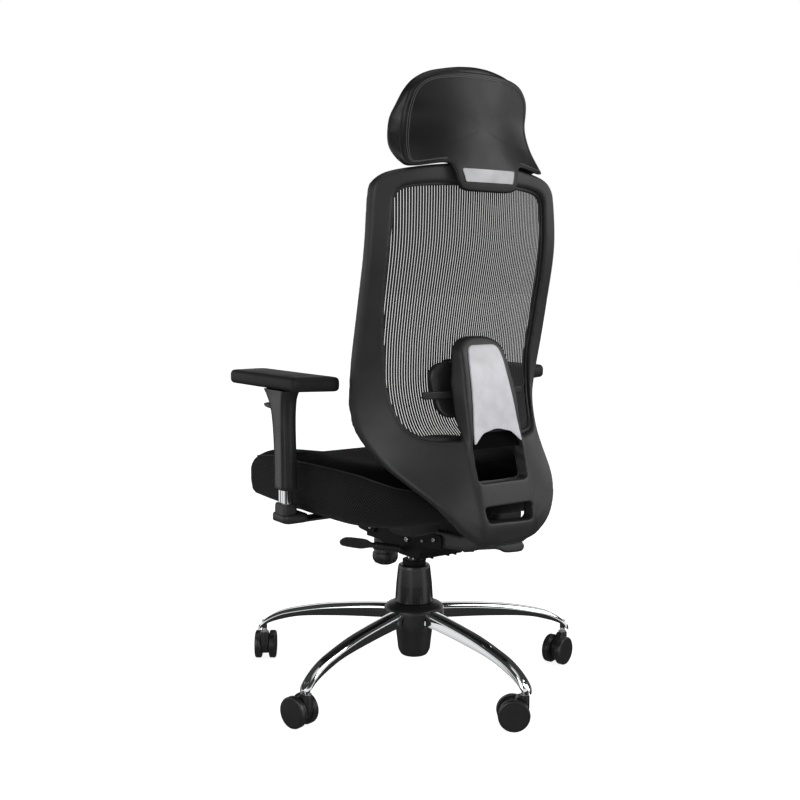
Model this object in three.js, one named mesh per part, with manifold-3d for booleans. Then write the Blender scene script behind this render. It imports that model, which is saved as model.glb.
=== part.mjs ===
// Swivel office chair with a mesh back, headrest, height-adjustable arms and a five-legged caster base.
// Millimetres, +Z up. The sitter faces -Y, so the sitter's left is +X. The origin is on the floor,
// under the middle of the whole chair.
import * as THREE from "three";
import { mergeVertices } from "three/addons/utils/BufferGeometryUtils.js";
import Module from "manifold-3d";

const wasm = await Module();
wasm.setup();

// ---- Driving dimensions ----
const GAP = 0.3; // between pieces that touch
const COLUMN_SHIFT = { x: -8, y: -19 }; // from the column axis to the origin

const BASE_RADIUS = 340; // column axis to caster stem
const LEG_COUNT = 5;
const LEG_TURN = 19; // degrees from +X to the first leg
const CASTER_TRAILS = [286, 325, 17, 200, 235]; // degrees each wheel pair trails to, legs in order
const WHEEL_DIAMETER = 60;

const COLUMN_DIAMETER = 48; // outer tube of the gas lift
const COLUMN_TOP = 252;
const CYLINDER_DIAMETER = 28; // sliding gas cylinder

const SEAT_WIDTH = 506;
const SEAT_FRONT = -290;
const SEAT_REAR = 222;
const SEAT_BOTTOM = 371;
const SEAT_CROWN = 468; // level part of the top

const ARM_X = 291; // middle of the arm post
const ARM_Y = -17;
const PAD_TOP = 644;

const BACK_TOP = 1036;
const BACK_THICKNESS = 26;
const HEADREST_BOTTOM = 1028;
const HEADREST_TOP = 1214;

// ---- Materials ----
const paint = (color, roughness, metalness = 0) =>
  new THREE.MeshStandardMaterial({ color, roughness, metalness });
const MATERIALS = {
  chrome: paint(0xd8dadd, 0.08, 1),
  steel: paint(0x8e9196, 0.35, 1),
  blackSteel: paint(0x16161a, 0.4, 0.6),
  plastic: paint(0x1b1b1c, 0.55),
  silver: paint(0xb9b9be, 0.38, 0.2),
  tread: paint(0x121213, 0.5),
  fabric: paint(0x0f0f10, 0.95),
  mesh: paint(0x0c0c0d, 0.85),
  leather: paint(0x191919, 0.45),
  rubber: paint(0x0e0e0e, 0.8),
};

// ---- Helpers ----
const vec2 = (points) => points.map(([x, y]) => new THREE.Vector2(x, y));
const radians = THREE.MathUtils.degToRad;

// A smooth curve through [input, output] pairs, read at one input.
function table(pairs) {
  const curve = new THREE.SplineCurve(vec2(pairs));
  const samples = curve.getPoints(pairs.length * 12);
  return (input) => {
    const rising = samples[0].x < samples[samples.length - 1].x;
    const after = samples.findIndex((p) => (rising ? p.x >= input : p.x <= input));
    if (after < 0) return samples[samples.length - 1].y;
    if (after === 0) return samples[0].y;
    const [a, b] = [samples[after - 1], samples[after]];
    return a.y + ((b.y - a.y) * (input - a.x)) / (b.x - a.x);
  };
}

function bare(geometry) {
  const plain = geometry.index ? geometry.toNonIndexed() : geometry.clone();
  plain.deleteAttribute("normal");
  plain.deleteAttribute("uv");
  return plain;
}

function solid(geometry) {
  const merged = mergeVertices(bare(geometry), 1e-4);
  const vertProperties = new Float32Array(merged.attributes.position.array);
  const triVerts = new Uint32Array(merged.index.array);
  return new wasm.Manifold(new wasm.Mesh({ numProp: 3, vertProperties, triVerts }));
}

function geometryOf(manifold) {
  const mesh = manifold.getMesh();
  const geometry = new THREE.BufferGeometry();
  geometry.setAttribute("position", new THREE.BufferAttribute(mesh.vertProperties, 3));
  geometry.setIndex(new THREE.BufferAttribute(mesh.triVerts, 1));
  return geometry;
}

const join = (first, ...others) =>
  geometryOf(others.reduce((sum, g) => sum.add(solid(g)), solid(first)));
const cut = (first, ...others) =>
  geometryOf(others.reduce((rest, g) => rest.subtract(solid(g)), solid(first)));
const common = (first, second) => geometryOf(solid(first).intersect(solid(second)));

// A solid of revolution about +Z from closed [radius, height] pairs listed upwards on the outside.
function turned(profile, segments = 24) {
  const closed = [...profile, profile[0]];
  return new THREE.LatheGeometry(vec2(closed), segments).rotateX(Math.PI / 2);
}

function rod(diameter, from, to, segments = 16) {
  const turnedRod = new THREE.CylinderGeometry(diameter / 2, diameter / 2, to - from, segments);
  return turnedRod.rotateX(Math.PI / 2).translate(0, 0, (from + to) / 2);
}

function block([x0, x1], [y0, y1], [z0, z1]) {
  const box = new THREE.BoxGeometry(x1 - x0, y1 - y0, z1 - z0);
  return box.translate((x0 + x1) / 2, (y0 + y1) / 2, (z0 + z1) / 2);
}

// A closed outline of [x, y, cornerRadius] points with round corners.
function rounded(corners, steps = 3) {
  const outline = [];
  corners.forEach(([x, y, radius = 0], i) => {
    const corner = new THREE.Vector2(x, y);
    const before = new THREE.Vector2(...corners.at(i - 1).slice(0, 2)).sub(corner);
    const after = new THREE.Vector2(...corners[(i + 1) % corners.length].slice(0, 2)).sub(corner);
    if (!radius) return outline.push(corner);
    const half = Math.abs(before.angleTo(after)) / 2;
    const run = Math.min(radius / Math.tan(half), before.length() / 2.3, after.length() / 2.3);
    const start = corner.clone().addScaledVector(before.normalize(), run);
    const end = corner.clone().addScaledVector(after.normalize(), run);
    const arc = new THREE.QuadraticBezierCurve(start, corner, end);
    outline.push(...arc.getPoints(steps));
  });
  return outline;
}

const mirroredHalf = (half) => [
  ...half,
  ...half.slice().reverse().filter(([x]) => x !== 0).map(([x, y]) => [-x, y]),
];

// A closed smooth outline through the points of its +X half and their mirror images.
function smoothOutline(half, count) {
  const points = mirroredHalf(half).map(([x, y]) => new THREE.Vector3(x, y, 0));
  const curve = new THREE.CatmullRomCurve3(points, true, "centripetal");
  return curve.getSpacedPoints(count).slice(0, count).map((p) => new THREE.Vector2(p.x, p.y));
}

const wound = (points, clockwise) =>
  THREE.ShapeUtils.isClockWise(points) === clockwise ? points : [...points].reverse();

function extrude(outline, depth, bevel = 0, holes = [], bevelSegments = 1) {
  const shape = new THREE.Shape(wound(outline, false));
  shape.holes = holes.map((hole) => new THREE.Path(wound(hole, true)));
  return new THREE.ExtrudeGeometry(shape, {
    depth: depth - 2 * bevel,
    bevelEnabled: bevel > 0,
    bevelThickness: bevel,
    bevelSize: bevel,
    bevelOffset: -bevel,
    bevelSegments,
    curveSegments: 1,
  }).translate(0, 0, bevel);
}

// Splits every edge longer than cell at its middle, so that a flat face can be bent.
function subdivided(geometry, cell) {
  const merged = mergeVertices(bare(geometry), 1e-4);
  const points = [];
  for (let i = 0; i < merged.attributes.position.count; i++)
    points.push(new THREE.Vector3().fromBufferAttribute(merged.attributes.position, i));
  const middles = new Map();
  const middleOf = (a, b) => {
    const key = a < b ? `${a} ${b}` : `${b} ${a}`;
    if (!middles.has(key)) middles.set(key, points.push(points[a].clone().lerp(points[b], 0.5)) - 1);
    return middles.get(key);
  };
  const waiting = [];
  for (let i = 0; i < merged.index.count; i += 3) waiting.push([...merged.index.array.slice(i, i + 3)]);
  const index = [];
  while (waiting.length) {
    const [a, b, c] = waiting.pop();
    const edges = [[a, b, c], [b, c, a], [c, a, b]];
    const lengths = edges.map(([from, to]) => points[from].distanceTo(points[to]));
    const longest = Math.max(...lengths);
    const [from, to, across] = edges[lengths.indexOf(longest)];
    if (longest <= cell) {
      index.push(a, b, c);
      continue;
    }
    const middle = middleOf(from, to);
    waiting.push([from, middle, across], [middle, to, across]);
  }
  return new THREE.BufferGeometry().setFromPoints(points).setIndex(index);
}

// A plate drawn in X and Z whose rear face follows y = rearFace(x, z) and whose thickness runs to -Y.
function bentPlate({ outline, holes = [], thickness, bevel = 4, rearFace, cell = 26, bevelSegments }) {
  const fine = subdivided(extrude(outline, thickness, bevel, holes, bevelSegments), cell);
  const position = fine.attributes.position;
  for (let i = 0; i < position.count; i++) {
    const [x, z, depth] = [position.getX(i), position.getY(i), position.getZ(i)];
    position.setXYZ(i, x, rearFace(x, z) - depth, z);
  }
  return fine;
}

// A solid through rings of equal point counts, with its first and last rings closed by fans.
function loft(rings) {
  const count = rings[0].length;
  const middle = (ring) =>
    ring.reduce((sum, p) => sum.add(p), new THREE.Vector3()).divideScalar(ring.length);
  const points = [...rings.flat(), middle(rings[0]), middle(rings.at(-1))];
  const first = points.length - 2;
  const index = [];
  for (let i = 0; i < count; i++) {
    const next = (i + 1) % count;
    for (let k = 0; k + 1 < rings.length; k++) {
      const [low, high] = [k * count, (k + 1) * count];
      index.push(low + i, low + next, high + next, low + i, high + next, high + i);
    }
    const top = (rings.length - 1) * count;
    index.push(first, next, i, first + 1, top + i, top + next);
  }
  return new THREE.BufferGeometry().setFromPoints(points).setIndex(index);
}

const chair = new THREE.Group();
const moved = (x, y, z, parent) => {
  const group = new THREE.Group();
  group.position.set(x, y, z);
  parent.add(group);
  return group;
};
const column = moved(COLUMN_SHIFT.x, COLUMN_SHIFT.y, 0, chair);

function part(name, geometry, material, parent = column) {
  const mesh = new THREE.Mesh(geometry, material);
  mesh.name = name;
  parent.add(mesh);
  return mesh;
}

// ---- Five-legged base ----
const LEG = { inner: 28.6, tip: 353, rootWidth: 31, tipWidth: 25, wall: 2.5 };
const HUB = { bottom: 62, top: 155, outer: 28, bore: COLUMN_DIAMETER / 2 + GAP };
const legTop = [
  [LEG.inner, 154.5],
  [80, 152],
  [148, 145.5],
  [204, 138],
  [255, 127.5],
  [298, 115.5],
  [331, 98],
  [LEG.tip, 77],
];
const legUnder = [
  [LEG.tip, 67],
  [329, 86],
  [290, 102],
  [242, 114],
  [155, 124],
  [80, 130],
  [LEG.inner, 133],
];
const STEM = { diameter: 11, top: 90 };

function legPlan(shrink) {
  const half = (width) => width / 2 - shrink;
  const tip = LEG.tip - shrink;
  return rounded([
    [LEG.inner - 1 + shrink * 0.5, -half(LEG.rootWidth)],
    [BASE_RADIUS, -half(LEG.tipWidth)],
    [tip, -half(LEG.tipWidth), 11],
    [tip, half(LEG.tipWidth), 11],
    [BASE_RADIUS, half(LEG.tipWidth)],
    [LEG.inner - 1 + shrink * 0.5, half(LEG.rootWidth)],
  ]);
}

// The side view of a leg, lowered by drop at the top and by skirt underneath.
function legSide(drop, skirt) {
  const curve = (points) => new THREE.SplineCurve(vec2(points)).getPoints(6);
  const top = curve(legTop).map((p) => new THREE.Vector2(p.x, p.y - drop));
  const under = curve(legUnder).map((p) => new THREE.Vector2(p.x, p.y - skirt));
  return extrude([...top, ...under].reverse(), 60).rotateX(Math.PI / 2).translate(0, 30, 0);
}

function leg() {
  const body = common(extrude(legPlan(0), 200), legSide(0, 0));
  const hollow = common(extrude(legPlan(LEG.wall), 200), legSide(LEG.wall, 40));
  const socket = rod(18, 68, 92, 12).translate(BASE_RADIUS, 0, 0);
  const bore = rod(STEM.diameter + 2 * GAP, 40, STEM.top + GAP, 12).translate(BASE_RADIUS, 0, 0);
  const capped = common(socket, legSide(1, 10));
  return cut(join(cut(body, hollow), capped), bore);
}

function buildBase() {
  const hubProfile = [
    [HUB.bore, HUB.bottom],
    [HUB.outer, HUB.bottom],
    [HUB.outer, HUB.top],
    [HUB.bore, HUB.top],
  ];
  part("base_hub_tube", turned(hubProfile), MATERIALS.blackSteel);
  const cupProfile = [
    [HUB.bore - 8, 50],
    [28, 50],
    [31, 54],
    [38.5, 108],
    [38.5, 124],
    [HUB.outer + GAP, 124],
    [HUB.outer + GAP, 61.5],
    [HUB.bore - 8, 61.5],
  ];
  part("hub_lower_cup", turned(cupProfile), MATERIALS.plastic);

  const domeProfile = [
    [58.5, 134],
    [62, 134],
    [62, 149],
    [60.5, 153],
    [56, 157],
    [48, 160.5],
    [40, 163],
    [HUB.bore + 0.5, 163],
    [HUB.bore + 0.5, 158.5],
    [52, 156.5],
    [58.5, 150],
  ];
  const angles = Array.from({ length: LEG_COUNT }, (_, i) => LEG_TURN + (360 / LEG_COUNT) * i);
  const notchHalf = LEG.rootWidth / 2 + 0.6;
  const notches = angles.map((angle) =>
    block([30, 80], [-notchHalf, notchHalf], [100, 155.2]).rotateZ(radians(angle)),
  );
  part("hub_top_cover", cut(turned(domeProfile, 25), ...notches), MATERIALS.plastic);

  const legShape = leg();
  angles.forEach((angle, i) => {
    const arm = moved(0, 0, 0, column);
    arm.rotation.z = radians(angle);
    part(`base_leg_${i + 1}`, legShape, MATERIALS.chrome, arm);
    const caster = moved(BASE_RADIUS, 0, 0, arm);
    caster.rotation.z = radians(CASTER_TRAILS[i] - angle);
    buildCaster(i + 1, caster);
  });
}

// ---- Twin-wheel casters: the stem stands on the local Z axis and the wheels trail to +X ----
const CASTER = { trail: 20.5, slab: 15, wheelWidth: 15.2, axle: 8, segments: 18 };

function wheel() {
  const radius = WHEEL_DIAMETER / 2 / Math.cos(Math.PI / CASTER.segments);
  const bore = CASTER.axle / 2 + GAP;
  const width = CASTER.wheelWidth;
  const profile = [
    [bore, 0],
    [radius - 2.5, 0],
    [radius, 2.5],
    [radius, width - 3],
    [radius - 3, width],
    [0, width],
    [0, width - 4],
    [bore, width - 4],
  ];
  const geometry = turned(profile, CASTER.segments).rotateZ(Math.PI / CASTER.segments);
  return geometry.rotateX(-Math.PI / 2);
}

function buildCaster(number, parent) {
  const axleHeight = WHEEL_DIAMETER / 2;
  const half = CASTER.slab / 2;
  const slabSide = rounded([
    [-8, 63],
    [-8, 34, 8],
    [3, 15, 8],
    [CASTER.trail + 10, 14, 12],
    [CASTER.trail + 14, 42, 12],
    [CASTER.trail + 2, 48],
    [12, 63],
  ], 2);
  const slab = extrude(slabSide, CASTER.slab).rotateX(Math.PI / 2).translate(0, half, 0);
  const reach = half + GAP + CASTER.wheelWidth - 4.6;
  const axle = rod(CASTER.axle, -reach, reach, 8).rotateX(Math.PI / 2);
  const socket = rod(STEM.diameter + 2 * GAP, 40, 80, 12);
  const boss = rod(CASTER.slab, 36, 63, 12);
  const fork = join(slab, boss, axle.translate(CASTER.trail, 0, axleHeight));
  part(`caster_${number}_body`, cut(fork, socket), MATERIALS.plastic, parent);
  const collar = turned([
    [0, 40.3],
    [STEM.diameter / 2, 40.3],
    [STEM.diameter / 2, 63.4],
    [8, 63.4],
    [8, 66],
    [STEM.diameter / 2, 66],
    [STEM.diameter / 2, STEM.top],
    [0, STEM.top],
  ], 12);
  part(`caster_${number}_stem`, collar, MATERIALS.steel, parent);
  const shape = wheel();
  for (const [side, sign] of [["a", 1], ["b", -1]]) {
    const place = moved(CASTER.trail, sign * (half + GAP), axleHeight, parent);
    if (sign < 0) place.rotation.z = Math.PI;
    part(`caster_${number}_wheel_${side}`, shape, MATERIALS.tread, place);
  }
}

// ---- Gas lift ----
function buildColumn() {
  const outer = COLUMN_DIAMETER / 2;
  const guide = CYLINDER_DIAMETER / 2 + GAP;
  const tube = [
    [6, 63],
    [outer, 63],
    [outer, COLUMN_TOP - 3],
    [outer - 2, COLUMN_TOP],
    [guide, COLUMN_TOP],
    [guide, 69],
    [6, 69],
  ];
  part("column_tube", turned(tube), MATERIALS.blackSteel);
  const cover = [
    [outer + GAP, 163.5],
    [39.2, 163.5],
    [37, 200],
    [33, 236],
    [31.6, 240],
    [29, 241.5],
    [outer + GAP, 241.5],
  ];
  part("column_cover", turned(cover), MATERIALS.plastic);
  const piston = [
    [0, 62],
    [5, 62],
    [5, 69.4],
    [12, 69.4],
    [12, 76],
    [5, 76],
    [5, 268],
    [0, 268],
  ];
  part("piston_rod", turned(piston, 16), MATERIALS.steel);
  const cylinder = [
    [5 + GAP, 80],
    [CYLINDER_DIAMETER / 2, 80],
    [CYLINDER_DIAMETER / 2, 300],
    [10, 306],
    [0, 306],
    [0, 274],
    [5 + GAP, 274],
  ];
  part("gas_cylinder", turned(cylinder, 24), MATERIALS.chrome);
}

// ---- Tilt mechanism under the seat ----
const HOUSING = { halfWidth: 56, front: -130, rear: 100, bottom: 274, top: 330 };
const TILT_LEVER = { y: 36, z: 286 };
const HEIGHT_LEVER = { y: 84, z: 281 };
const KNOB_Y = -106;
const BACK_PIVOT = { y: 62, z: 312, pin: 12 };
const SEAT_PIVOT = { y: -70, z: 314, pin: 10 };
const SIDE_PLATE = { inner: HOUSING.halfWidth + 1, outer: HOUSING.halfWidth + 5 };

const crossRod = (diameter, reach) => rod(diameter, -reach, reach, 16).rotateY(Math.PI / 2);

// A pair of side plates that straddle the housing, drawn from the side as [y, z, cornerRadius].
function sidePlates(corners) {
  const { inner, outer } = SIDE_PLATE;
  const plate = extrude(rounded(corners), outer - inner).rotateX(Math.PI / 2).rotateZ(Math.PI / 2);
  return [plate.clone().translate(inner, 0, 0), plate.clone().translate(-outer, 0, 0)];
}

function buildMechanism() {
  const { halfWidth, front, rear, bottom, top } = HOUSING;
  const side = rounded([
    [front, top, 6],
    [front, bottom + 26, 10],
    [-62, bottom + 20, 10],
    [-40, bottom + 12],
    [10, bottom + 11],
    [22, bottom, 6],
    [rear - 10, bottom, 8],
    [rear, bottom + 12, 8],
    [rear, top, 6],
  ]);
  const tray = extrude(side, 2 * halfWidth, 3).rotateX(Math.PI / 2).rotateZ(Math.PI / 2);
  const shell = join(tray.translate(-halfWidth, 0, 0), rod(44, 266, top - 10, 20));
  const taper = rod(CYLINDER_DIAMETER + 2 * GAP, 200, 306.6, 24);
  const knobBore = rod(12.6, 250, 340, 16).translate(0, KNOB_Y, 0);
  const bores = [BACK_PIVOT, SEAT_PIVOT].map(({ y, z, pin }) =>
    crossRod(pin + 2 * GAP, 100).translate(0, y, z),
  );
  part("mechanism_housing", cut(shell, taper, knobBore, ...bores), MATERIALS.blackSteel);

  const knob = turned([
    [0, 219],
    [16, 220],
    [25, 226],
    [27.5, 234],
    [27.5, 244],
    [24, 247],
    [24, 288],
    [21, 291],
    [6, 291],
    [6, 322],
    [0, 322],
  ], 20).translate(0, KNOB_Y, 0);
  part("tension_knob", knob, MATERIALS.plastic);
}

// A lever that leaves the housing side along +X, with a ribbed grip and a flat paddle turned by roll.
function lever({ ribs, paddleFrom, paddleTo, slope, roll }) {
  const bar = rod(9, 3, paddleFrom + 6, 8).rotateY(Math.PI / 2);
  const grips = Array.from({ length: ribs }, (_, i) =>
    rod(15, 8 + i * 10, 14 + i * 10, 8).rotateY(Math.PI / 2),
  );
  const paddle = rounded([
    [paddleFrom, -6],
    [paddleFrom + 16, -13, 10],
    [paddleTo, -10, 7],
    [paddleTo, 10, 7],
    [paddleFrom + 16, 13, 10],
    [paddleFrom, 6],
  ]);
  const tab = extrude(paddle, 9, 2).translate(0, 0, -4.5).rotateX(roll);
  return join(bar, ...grips, tab).rotateY(-Math.atan(slope));
}

function buildLevers() {
  const tilt = moved(HOUSING.halfWidth, TILT_LEVER.y, TILT_LEVER.z, column);
  const tiltShape = lever({ ribs: 6, paddleFrom: 72, paddleTo: 148, slope: 0.2, roll: 0.8 });
  part("tilt_lever", tiltShape, MATERIALS.plastic, tilt);
  const height = moved(-HOUSING.halfWidth, HEIGHT_LEVER.y, HEIGHT_LEVER.z, column);
  height.rotation.z = Math.PI;
  const heightShape = lever({ ribs: 2, paddleFrom: 98, paddleTo: 170, slope: -0.1, roll: 1 });
  part("height_lever", heightShape, MATERIALS.plastic, height);
}

// ---- Seat ----
const seatHalf = SEAT_WIDTH / 2;
const SEAT_TAPER = 17; // each side comes in by this much at the rear
function seatOutline(inset, count) {
  const outline = rounded([
    [-seatHalf + inset + 12, SEAT_FRONT + inset, 50],
    [seatHalf - inset - 12, SEAT_FRONT + inset, 50],
    [seatHalf - inset, -60, 300],
    [seatHalf - inset - SEAT_TAPER, SEAT_REAR - inset, 150],
    [-seatHalf + inset + SEAT_TAPER, SEAT_REAR - inset, 150],
    [-seatHalf + inset, -60, 300],
  ], 6);
  const curve = new THREE.CatmullRomCurve3(
    outline.map((p) => new THREE.Vector3(p.x, p.y, 0)),
    true,
    "centripetal",
  );
  return curve.getSpacedPoints(count).slice(0, count);
}

// Height of the top surface along the depth: it rolls down to the front edge and to the rear.
const seatTop = table([
  [SEAT_FRONT, 442],
  [-262, 450],
  [-220, 459],
  [-170, 464],
  [-120, SEAT_CROWN],
  [110, SEAT_CROWN],
  [160, 463],
  [200, 449],
  [SEAT_REAR, 438],
]);

function seatRing(inset, heightAt) {
  return seatOutline(inset, 40).map((p) => new THREE.Vector3(p.x, p.y, heightAt(p.y)));
}

const level = (height) => () => height;
const belowTop = (depth) => (y) => Math.min(seatTop(y), SEAT_CROWN) - depth;
const PAN_THICKNESS = 3.7;

function buildSeat() {
  const rings = [
    seatRing(26, level(SEAT_BOTTOM)),
    seatRing(8, level(SEAT_BOTTOM + 4)),
    seatRing(0, level(SEAT_BOTTOM + 17)),
    seatRing(0, belowTop(28)),
    seatRing(10, belowTop(7)),
    seatRing(35, belowTop(0)),
    seatRing(100, belowTop(0)),
    seatRing(170, level(SEAT_CROWN)),
  ];
  part("seat_cushion", loft(rings), MATERIALS.fabric);
  const panTop = SEAT_BOTTOM - GAP;
  const panBottom = panTop - PAN_THICKNESS;
  const pan = [seatRing(60, level(panBottom)), seatRing(30, level(panTop))];
  part("seat_pan", loft(pan), MATERIALS.plastic);

  const plateOutline = rounded([
    [-84, -150, 14],
    [84, -150, 14],
    [84, 70, 14],
    [-84, 70, 14],
  ]);
  const plate = extrude(plateOutline, 5, 1).translate(0, 0, panBottom - GAP - 5);
  const lugs = sidePlates([
    [SEAT_PIVOT.y - 34, panBottom - 1],
    [SEAT_PIVOT.y - 12, SEAT_PIVOT.z - 11, 8],
    [SEAT_PIVOT.y + 12, SEAT_PIVOT.z - 11, 8],
    [SEAT_PIVOT.y + 34, panBottom - 1],
  ]);
  const pin = crossRod(SEAT_PIVOT.pin, SIDE_PLATE.inner + 1);
  const swivel = pin.translate(0, SEAT_PIVOT.y, SEAT_PIVOT.z);
  part("seat_plate", join(plate, ...lugs, swivel), MATERIALS.blackSteel);
}

// ---- Armrests: drawn for the sitter's left, and mirrored for the right ----
const ARM = { footTop: 366.4, postTop: 585, sleeveBottom: 425, sleeveTop: 615.7 };
const PAD = { thickness: 28, plate: 5 };

function tube(width, depth, [z0, z1]) {
  const [w, d] = [width / 2, depth / 2];
  return block([ARM_X - w, ARM_X + w], [ARM_Y - d, ARM_Y + d], [z0, z1]);
}

function roundRing(width, depth, y, z) {
  const [w, d] = [width / 2, depth / 2];
  const corners = [[-w, -d, 6], [w, -d, 6], [w, d, 6], [-w, d, 6]];
  return rounded(corners, 3).map((p) => new THREE.Vector3(p.x + ARM_X, p.y + y, z));
}

function armBracket() {
  const bar = block([118, ARM_X - 10], [ARM_Y - 20, ARM_Y + 20], [ARM.footTop - 6, ARM.footTop - 1]);
  const foot = rounded([
    [ARM_X - 35, ARM_Y - 30, 14],
    [ARM_X + 16, ARM_Y - 30, 14],
    [ARM_X + 16, ARM_Y + 30, 14],
    [ARM_X - 35, ARM_Y + 30, 14],
  ]);
  const base = extrude(foot, 16, 2).translate(0, 0, ARM.footTop - 4.4);
  const collar = loft([
    roundRing(28, 42, ARM_Y, ARM.footTop),
    roundRing(28, 42, ARM_Y, 395),
    roundRing(25, 39, ARM_Y, 398),
  ]);
  return cut(join(base, bar, collar), tube(18.6, 30.6, [ARM.footTop, 410]));
}

function armSleeve() {
  const body = loft([
    roundRing(34, 48, ARM_Y, ARM.sleeveBottom),
    roundRing(33, 48, ARM_Y - 1, 520),
    roundRing(33, 56, ARM_Y - 5, 570),
    roundRing(36, 84, ARM_Y - 12, ARM.sleeveTop - 3),
  ]);
  const plate = rounded([
    [266, ARM_Y - 58, 12],
    [310, ARM_Y - 58, 12],
    [310, ARM_Y + 34, 12],
    [266, ARM_Y + 34, 12],
  ]);
  const carrier = extrude(plate, PAD.plate, 1).translate(0, 0, ARM.sleeveTop - PAD.plate);
  const fork = block([ARM_X - 8.3, ARM_X + 8.3], [-100, ARM_Y - 25], [570, 589]);
  const inside = tube(18.8, 30.8, [ARM.sleeveBottom - 1, ARM.postTop + 5]);
  return cut(join(body, carrier), inside, fork);
}

function armTrigger() {
  const side = vec2([
    [ARM_Y - 25.5, 574],
    [ARM_Y - 25.5, 585],
    [ARM_Y - 58, 588],
    [ARM_Y - 72, 585],
    [ARM_Y - 60, 577],
  ]);
  return extrude(side, 16, 1.5).rotateX(Math.PI / 2).rotateZ(Math.PI / 2).translate(ARM_X - 8, 0, 0);
}

function armPad() {
  const outline = rounded([
    [224, -216, 26],
    [310, -208, 20],
    [309, 50, 18],
    [222, 84, 16],
  ], 5);
  const base = PAD_TOP - PAD.thickness;
  return extrude(outline, PAD.thickness, 7, [], 2).translate(0, 0, base);
}

function buildArms() {
  const shapes = {
    bracket: [armBracket(), MATERIALS.plastic],
    post: [tube(18, 30, [ARM.footTop + GAP, ARM.postTop]), MATERIALS.chrome],
    sleeve: [armSleeve(), MATERIALS.plastic],
    trigger: [armTrigger(), MATERIALS.plastic],
    pad: [armPad(), MATERIALS.rubber],
  };
  for (const side of ["left", "right"]) {
    const arm = moved(0, 0, 0, column);
    if (side === "right") arm.scale.x = -1;
    for (const [piece, [shape, material]] of Object.entries(shapes))
      part(`arm_${side}_${piece}`, shape, material, arm);
  }
}

// ---- Back ----
// Rear faces as y against height: along the side bars, and on the middle line.
const SIDE_WIDTH = 210;
const sideFace = table([
  [330, 275],
  [400, 248],
  [438, 209],
  [483, 159],
  [535, 129],
  [586, 122],
  [636, 128],
  [683, 137],
  [775, 156],
  [888, 177],
  [992, 176],
  [BACK_TOP + 8, 172],
]);
const middleFace = table([
  [330, 296],
  [376, 303],
  [414, 297],
  [454, 286],
  [540, 262],
  [588, 238],
  [643, 207],
  [700, 193],
  [783, 196],
  [903, 212],
  [990, 219],
  [BACK_TOP + 8, 217],
]);

function backFace(x, z) {
  const side = sideFace(z);
  return side + (middleFace(z) - side) * (1 - (Math.abs(x) / SIDE_WIDTH) ** 2.2);
}

const backOutline = [
  [0, BACK_TOP],
  [70, BACK_TOP - 3],
  [130, BACK_TOP - 10],
  [180, BACK_TOP - 20],
  [204, BACK_TOP - 34],
  [215, 980],
  [221, 900],
  [222, 800],
  [222, 700],
  [219, 636],
  [212, 586],
  [203, 536],
  [182, 484],
  [157, 446],
  [137, 420],
  [124, 400],
  [106, 378],
  [84, 358],
  [58, 344],
  [0, 338],
];
const windowOutline = [
  [0, 999],
  [90, 998],
  [150, 992],
  [174, 978],
  [181, 945],
  [186, 830],
  [181, 728],
  [175, 680],
  [173, 626],
  [163, 575],
  [152, 550],
  [132, 535],
  [100, 530],
  [0, 530],
];

const WINDOW_STEPS = 48;

// Stations of the rear pillar: height, rear face, half width of that face, half width and depth of the foot.
const PILLAR = [
  { z: 726, rear: 200, face: 48, foot: 52, depth: 26 },
  { z: 690, rear: 221, face: 52, foot: 57, depth: 29 },
  { z: 640, rear: 238, face: 57, foot: 66, depth: 36 },
  { z: 595, rear: 250, face: 63, foot: 81, depth: 38 },
  { z: 560, rear: 257, face: 70, foot: 98, depth: 35 },
  { z: 527, rear: 265, face: 76, foot: 111, depth: 20 },
  { z: 512, rear: 269, face: 79, foot: 113, depth: 12 },
  { z: 490, rear: 275, face: 83, foot: 114, depth: 20 },
  { z: 454, rear: 286, face: 91, foot: 121, depth: 22 },
  { z: 414, rear: 297, face: 96, foot: 119, depth: 22 },
  { z: 380, rear: 304, face: 84, foot: 99, depth: 24 },
  { z: 352, rear: 300, face: 60, foot: 72, depth: 30 },
];

function pillarRing({ z, rear, face, foot, depth }) {
  const half = [
    [0, rear],
    [face, rear - 1],
    [foot, rear - depth + 4],
    [foot - 4, rear - depth],
    [0, rear - depth + 1],
  ];
  return mirroredHalf(half).reverse().map(([x, y]) => new THREE.Vector3(x, y, z));
}

function pillarFace(z) {
  const above = PILLAR.findIndex((station) => station.z <= z);
  const [high, low] = [PILLAR[Math.max(above - 1, 0)], PILLAR[Math.max(above, 1)]];
  return THREE.MathUtils.mapLinear(z, low.z, high.z, low.rear, high.rear);
}

// A rear-view outline pushed through the whole depth of the back.
function prism(outline, holes = []) {
  return extrude(outline, 400, 0, holes).rotateX(Math.PI / 2).translate(0, 400, 0);
}

function pillar() {
  const body = loft([...PILLAR].reverse().map(pillarRing));
  const arch = rounded([
    [-120, 340],
    [120, 340],
    [118, 500],
    [58, 724, 60],
    [-58, 724, 60],
    [-118, 500],
  ], 6);
  return common(body, prism(arch));
}

const SHOE = { halfWidth: HOUSING.halfWidth, front: 108, bottom: 308, top: 345, bolt: 150, boltZ: 327 };
function shoe() {
  const side = rounded([
    [SHOE.front, SHOE.bottom, 6],
    [152, SHOE.bottom + 3],
    [238, SHOE.bottom + 11, 40],
    [286, 334, 40],
    [303, 362, 30],
    [304, 392],
    [278, 392],
    [272, 370, 20],
    [240, SHOE.top + 4, 30],
    [SHOE.front, SHOE.top, 6],
  ]);
  const body = extrude(side, 2 * SHOE.halfWidth, 4).rotateX(Math.PI / 2).rotateZ(Math.PI / 2);
  return body.translate(-SHOE.halfWidth, 0, 0);
}

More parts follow.
